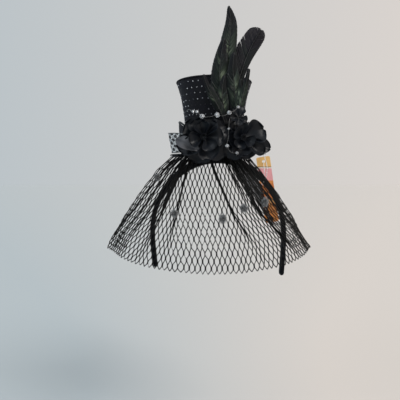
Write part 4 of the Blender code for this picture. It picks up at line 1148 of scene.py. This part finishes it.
def net_yarns(rng):
    """The yarns' paths: two to a column, which meet their neighbours at each row's knots."""
    levels, halves = 2 * NET_ROWS + 1, 2 * NET_COLUMNS + 1
    columns = (np.arange(halves) / 2 - NET_COLUMNS / 2) + rng.uniform(-0.07, 0.07, (levels, halves))
    drops = rng.uniform(-0.05, 0.05, (levels, halves))
    knots, sides = [], []
    for level in range(levels):
        share = level / 2 / NET_ROWS
        # Both ends of one upright side move together sideways.
        here = columns[level // 2 * 2]
        knots.append(net_row(share, here, drops[level]))
        sides.append(unit(net_row(share, here + 0.05, drops[level]) - knots[-1]))
    paths = []
    for first in range(NET_COLUMNS):
        for member in (1, -1):
            # A yarn keeps to one side of a column on even rows and of its neighbour on odd rows.
            home = first if member == 1 else first + 1
            path = []
            for level in range(levels):
                even = level // 2 % 2 == 0
                slot = 2 * home if even else 2 * first + 1
                beside = (member if even else -member) * 0.82 * YARN_RADIUS * (level < levels - 1)
                path.append(knots[level][slot] + sides[level][slot] * beside)
            paths.append(path)
    return np.array(paths)


def build_veil(yarn, tape_cloth, fuzz):
    rng = np.random.default_rng(3)
    veil = tubes("veil_netting", net_yarns(rng), YARN_RADIUS, yarn)
    settle(veil, "net", "veil_net", "veil_gathers", body=None)
    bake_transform(veil)

    angle = np.linspace(-1.0, 1.0, 140) * VEIL_END_ANGLES[0]
    top = gathered_point(angle, 8.0 * MM, 0.35 * MM * np.sin(angle * 60))
    turn = np.radians(np.linspace(0, 330, 12))[:, None, None]
    outward = np.stack((np.sin(angle), -np.cos(angle), 0 * angle), -1)
    grid = top + outward * (1.25 * MM * np.cos(turn)) + UP * (1.75 * MM * np.sin(turn))
    settle(surface("veil_tape", grid, tape_cloth, 0.35 * MM, levels=0), "satin", "veil_gather_binding")
    for number in range(1, 6):
        dot = chenille_dot(f"chenille_dot_{number}", f"veil_dot_{number}", fuzz, rng)
        settle(dot, "chenille", f"veil_dot_{number}", body="veil")


def chenille_dot(name, node, material, rng):
    """A ball of short cut fibres round a small core."""
    low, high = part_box(node)
    centre = np.array((low + high) / 2)
    heading = unit(rng.normal(size=(DOT_FIBRES, 3))) * rng.uniform(0.8, 1.2, 3)
    bend = unit(rng.normal(size=(DOT_FIBRES, 3)))
    reach = (3.3 + 2.0 * rng.uniform(size=(DOT_FIBRES, 1)) ** 1.5) * MM
    t = np.linspace(0.0, 1.0, FIBRE_POINTS)[None, :, None]
    paths = heading[:, None] * (reach[:, None] * (0.15 + 0.85 * t)) + bend[:, None] * (0.8 * MM * t**2)
    radius = np.linspace(0.26, 0.07, FIBRE_POINTS) * MM
    points, faces = tube_parts(centre + paths, radius[None], 3)
    # Painted shade and highlight: the tone darkens towards the dot's heart and pales towards the fibres'
    # tips, and a few fibres are painted as glints.
    tone = np.clip(np.linalg.norm(points - centre, axis=1) / (4.6 * MM), 0, 1) * 0.75
    glinting_fibres = np.repeat(rng.uniform(size=DOT_FIBRES) < 0.12, 3 * FIBRE_POINTS) * 0.25
    return make_piece(name, points, faces, material, tone=tone + glinting_fibres)


# ---------------- hang tag

# The nylon loop's guides in mm, as its CAD solid runs.
TAG_LOOP = ((51.5, 0.0, -28.0), (52.5, -8.0, -25.0), (56.5, -9.5, -14.0), (58.0, -4.0, -3.0),
            (58.5, 12.0, 7.0), (60.0, 28.0, 12.5), (61.0, 36.0, 12.5), (61.0, 38.5, 7.5), (61.0, 34.0, 3.5),
            (59.8, 26.0, -1.0), (58.0, 12.0, -10.0), (55.5, 9.5, -21.0))


def build_tag(cord):
    low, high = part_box("tag_card")
    dress(tag_print(low.z, high.z), "tag_card")
    guides = np.array(TAG_LOOP) * MM
    near = [np.roll(guides, -shift, axis=0)[:, None] for shift in (-1, 0, 1, 2)]
    path = cubic(*near, np.linspace(0.0, 1.0, 10, endpoint=False)[:, None]).reshape(-1, 3)
    loop = tubes("tag_nylon_loop", np.concatenate((path, path[:1])), 0.45 * MM, cord, 8)
    settle(loop, "tag_nylon", "tag_loop")


# ---------------- assembly


def dress(material, *nodes):
    """Gives CAD parts that stay in view their material."""
    for node in nodes:
        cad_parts[node].data.materials[0] = material


def main():
    add_camera()
    add_studio()
    plain = plain_materials()
    yarn, thread = plain["yarn"], plain["thread"]
    satin_cloth, cloth = satin(), hat_cloth()
    sheer = dotted_sheer("dotted_sheer", (0.60, 0.64, 0.66), (0.006, 0.006, 0.008), 0.30, 0.0072, 0.0019)
    dark_sheer = dotted_sheer("dark_sheer", (0.010, 0.011, 0.015), (0.12, 0.125, 0.14), 0.66, 0.0060, 0.0011)
    build_band(plain["velvet"], yarn)
    build_crown(cloth)
    build_foil(plain["foil"])
    build_brim(cloth, satin_cloth)
    build_pad(plain["felt"])
    build_feathers(feather_vane(), plain["quill"], yarn)
    build_flowers(satin_cloth)
    build_bow(sheer, dark_sheer, thread, yarn)
    build_beads(plain["bead"], thread)
    build_veil(yarn, satin_cloth, chenille())
    build_tag(plain["nylon"])
    dress(buckram(), "hat_base_plate", "crown_shell")
    dress(plain["plastic"], "band_arch_core", "left_arm_core", "right_arm_core")


main()
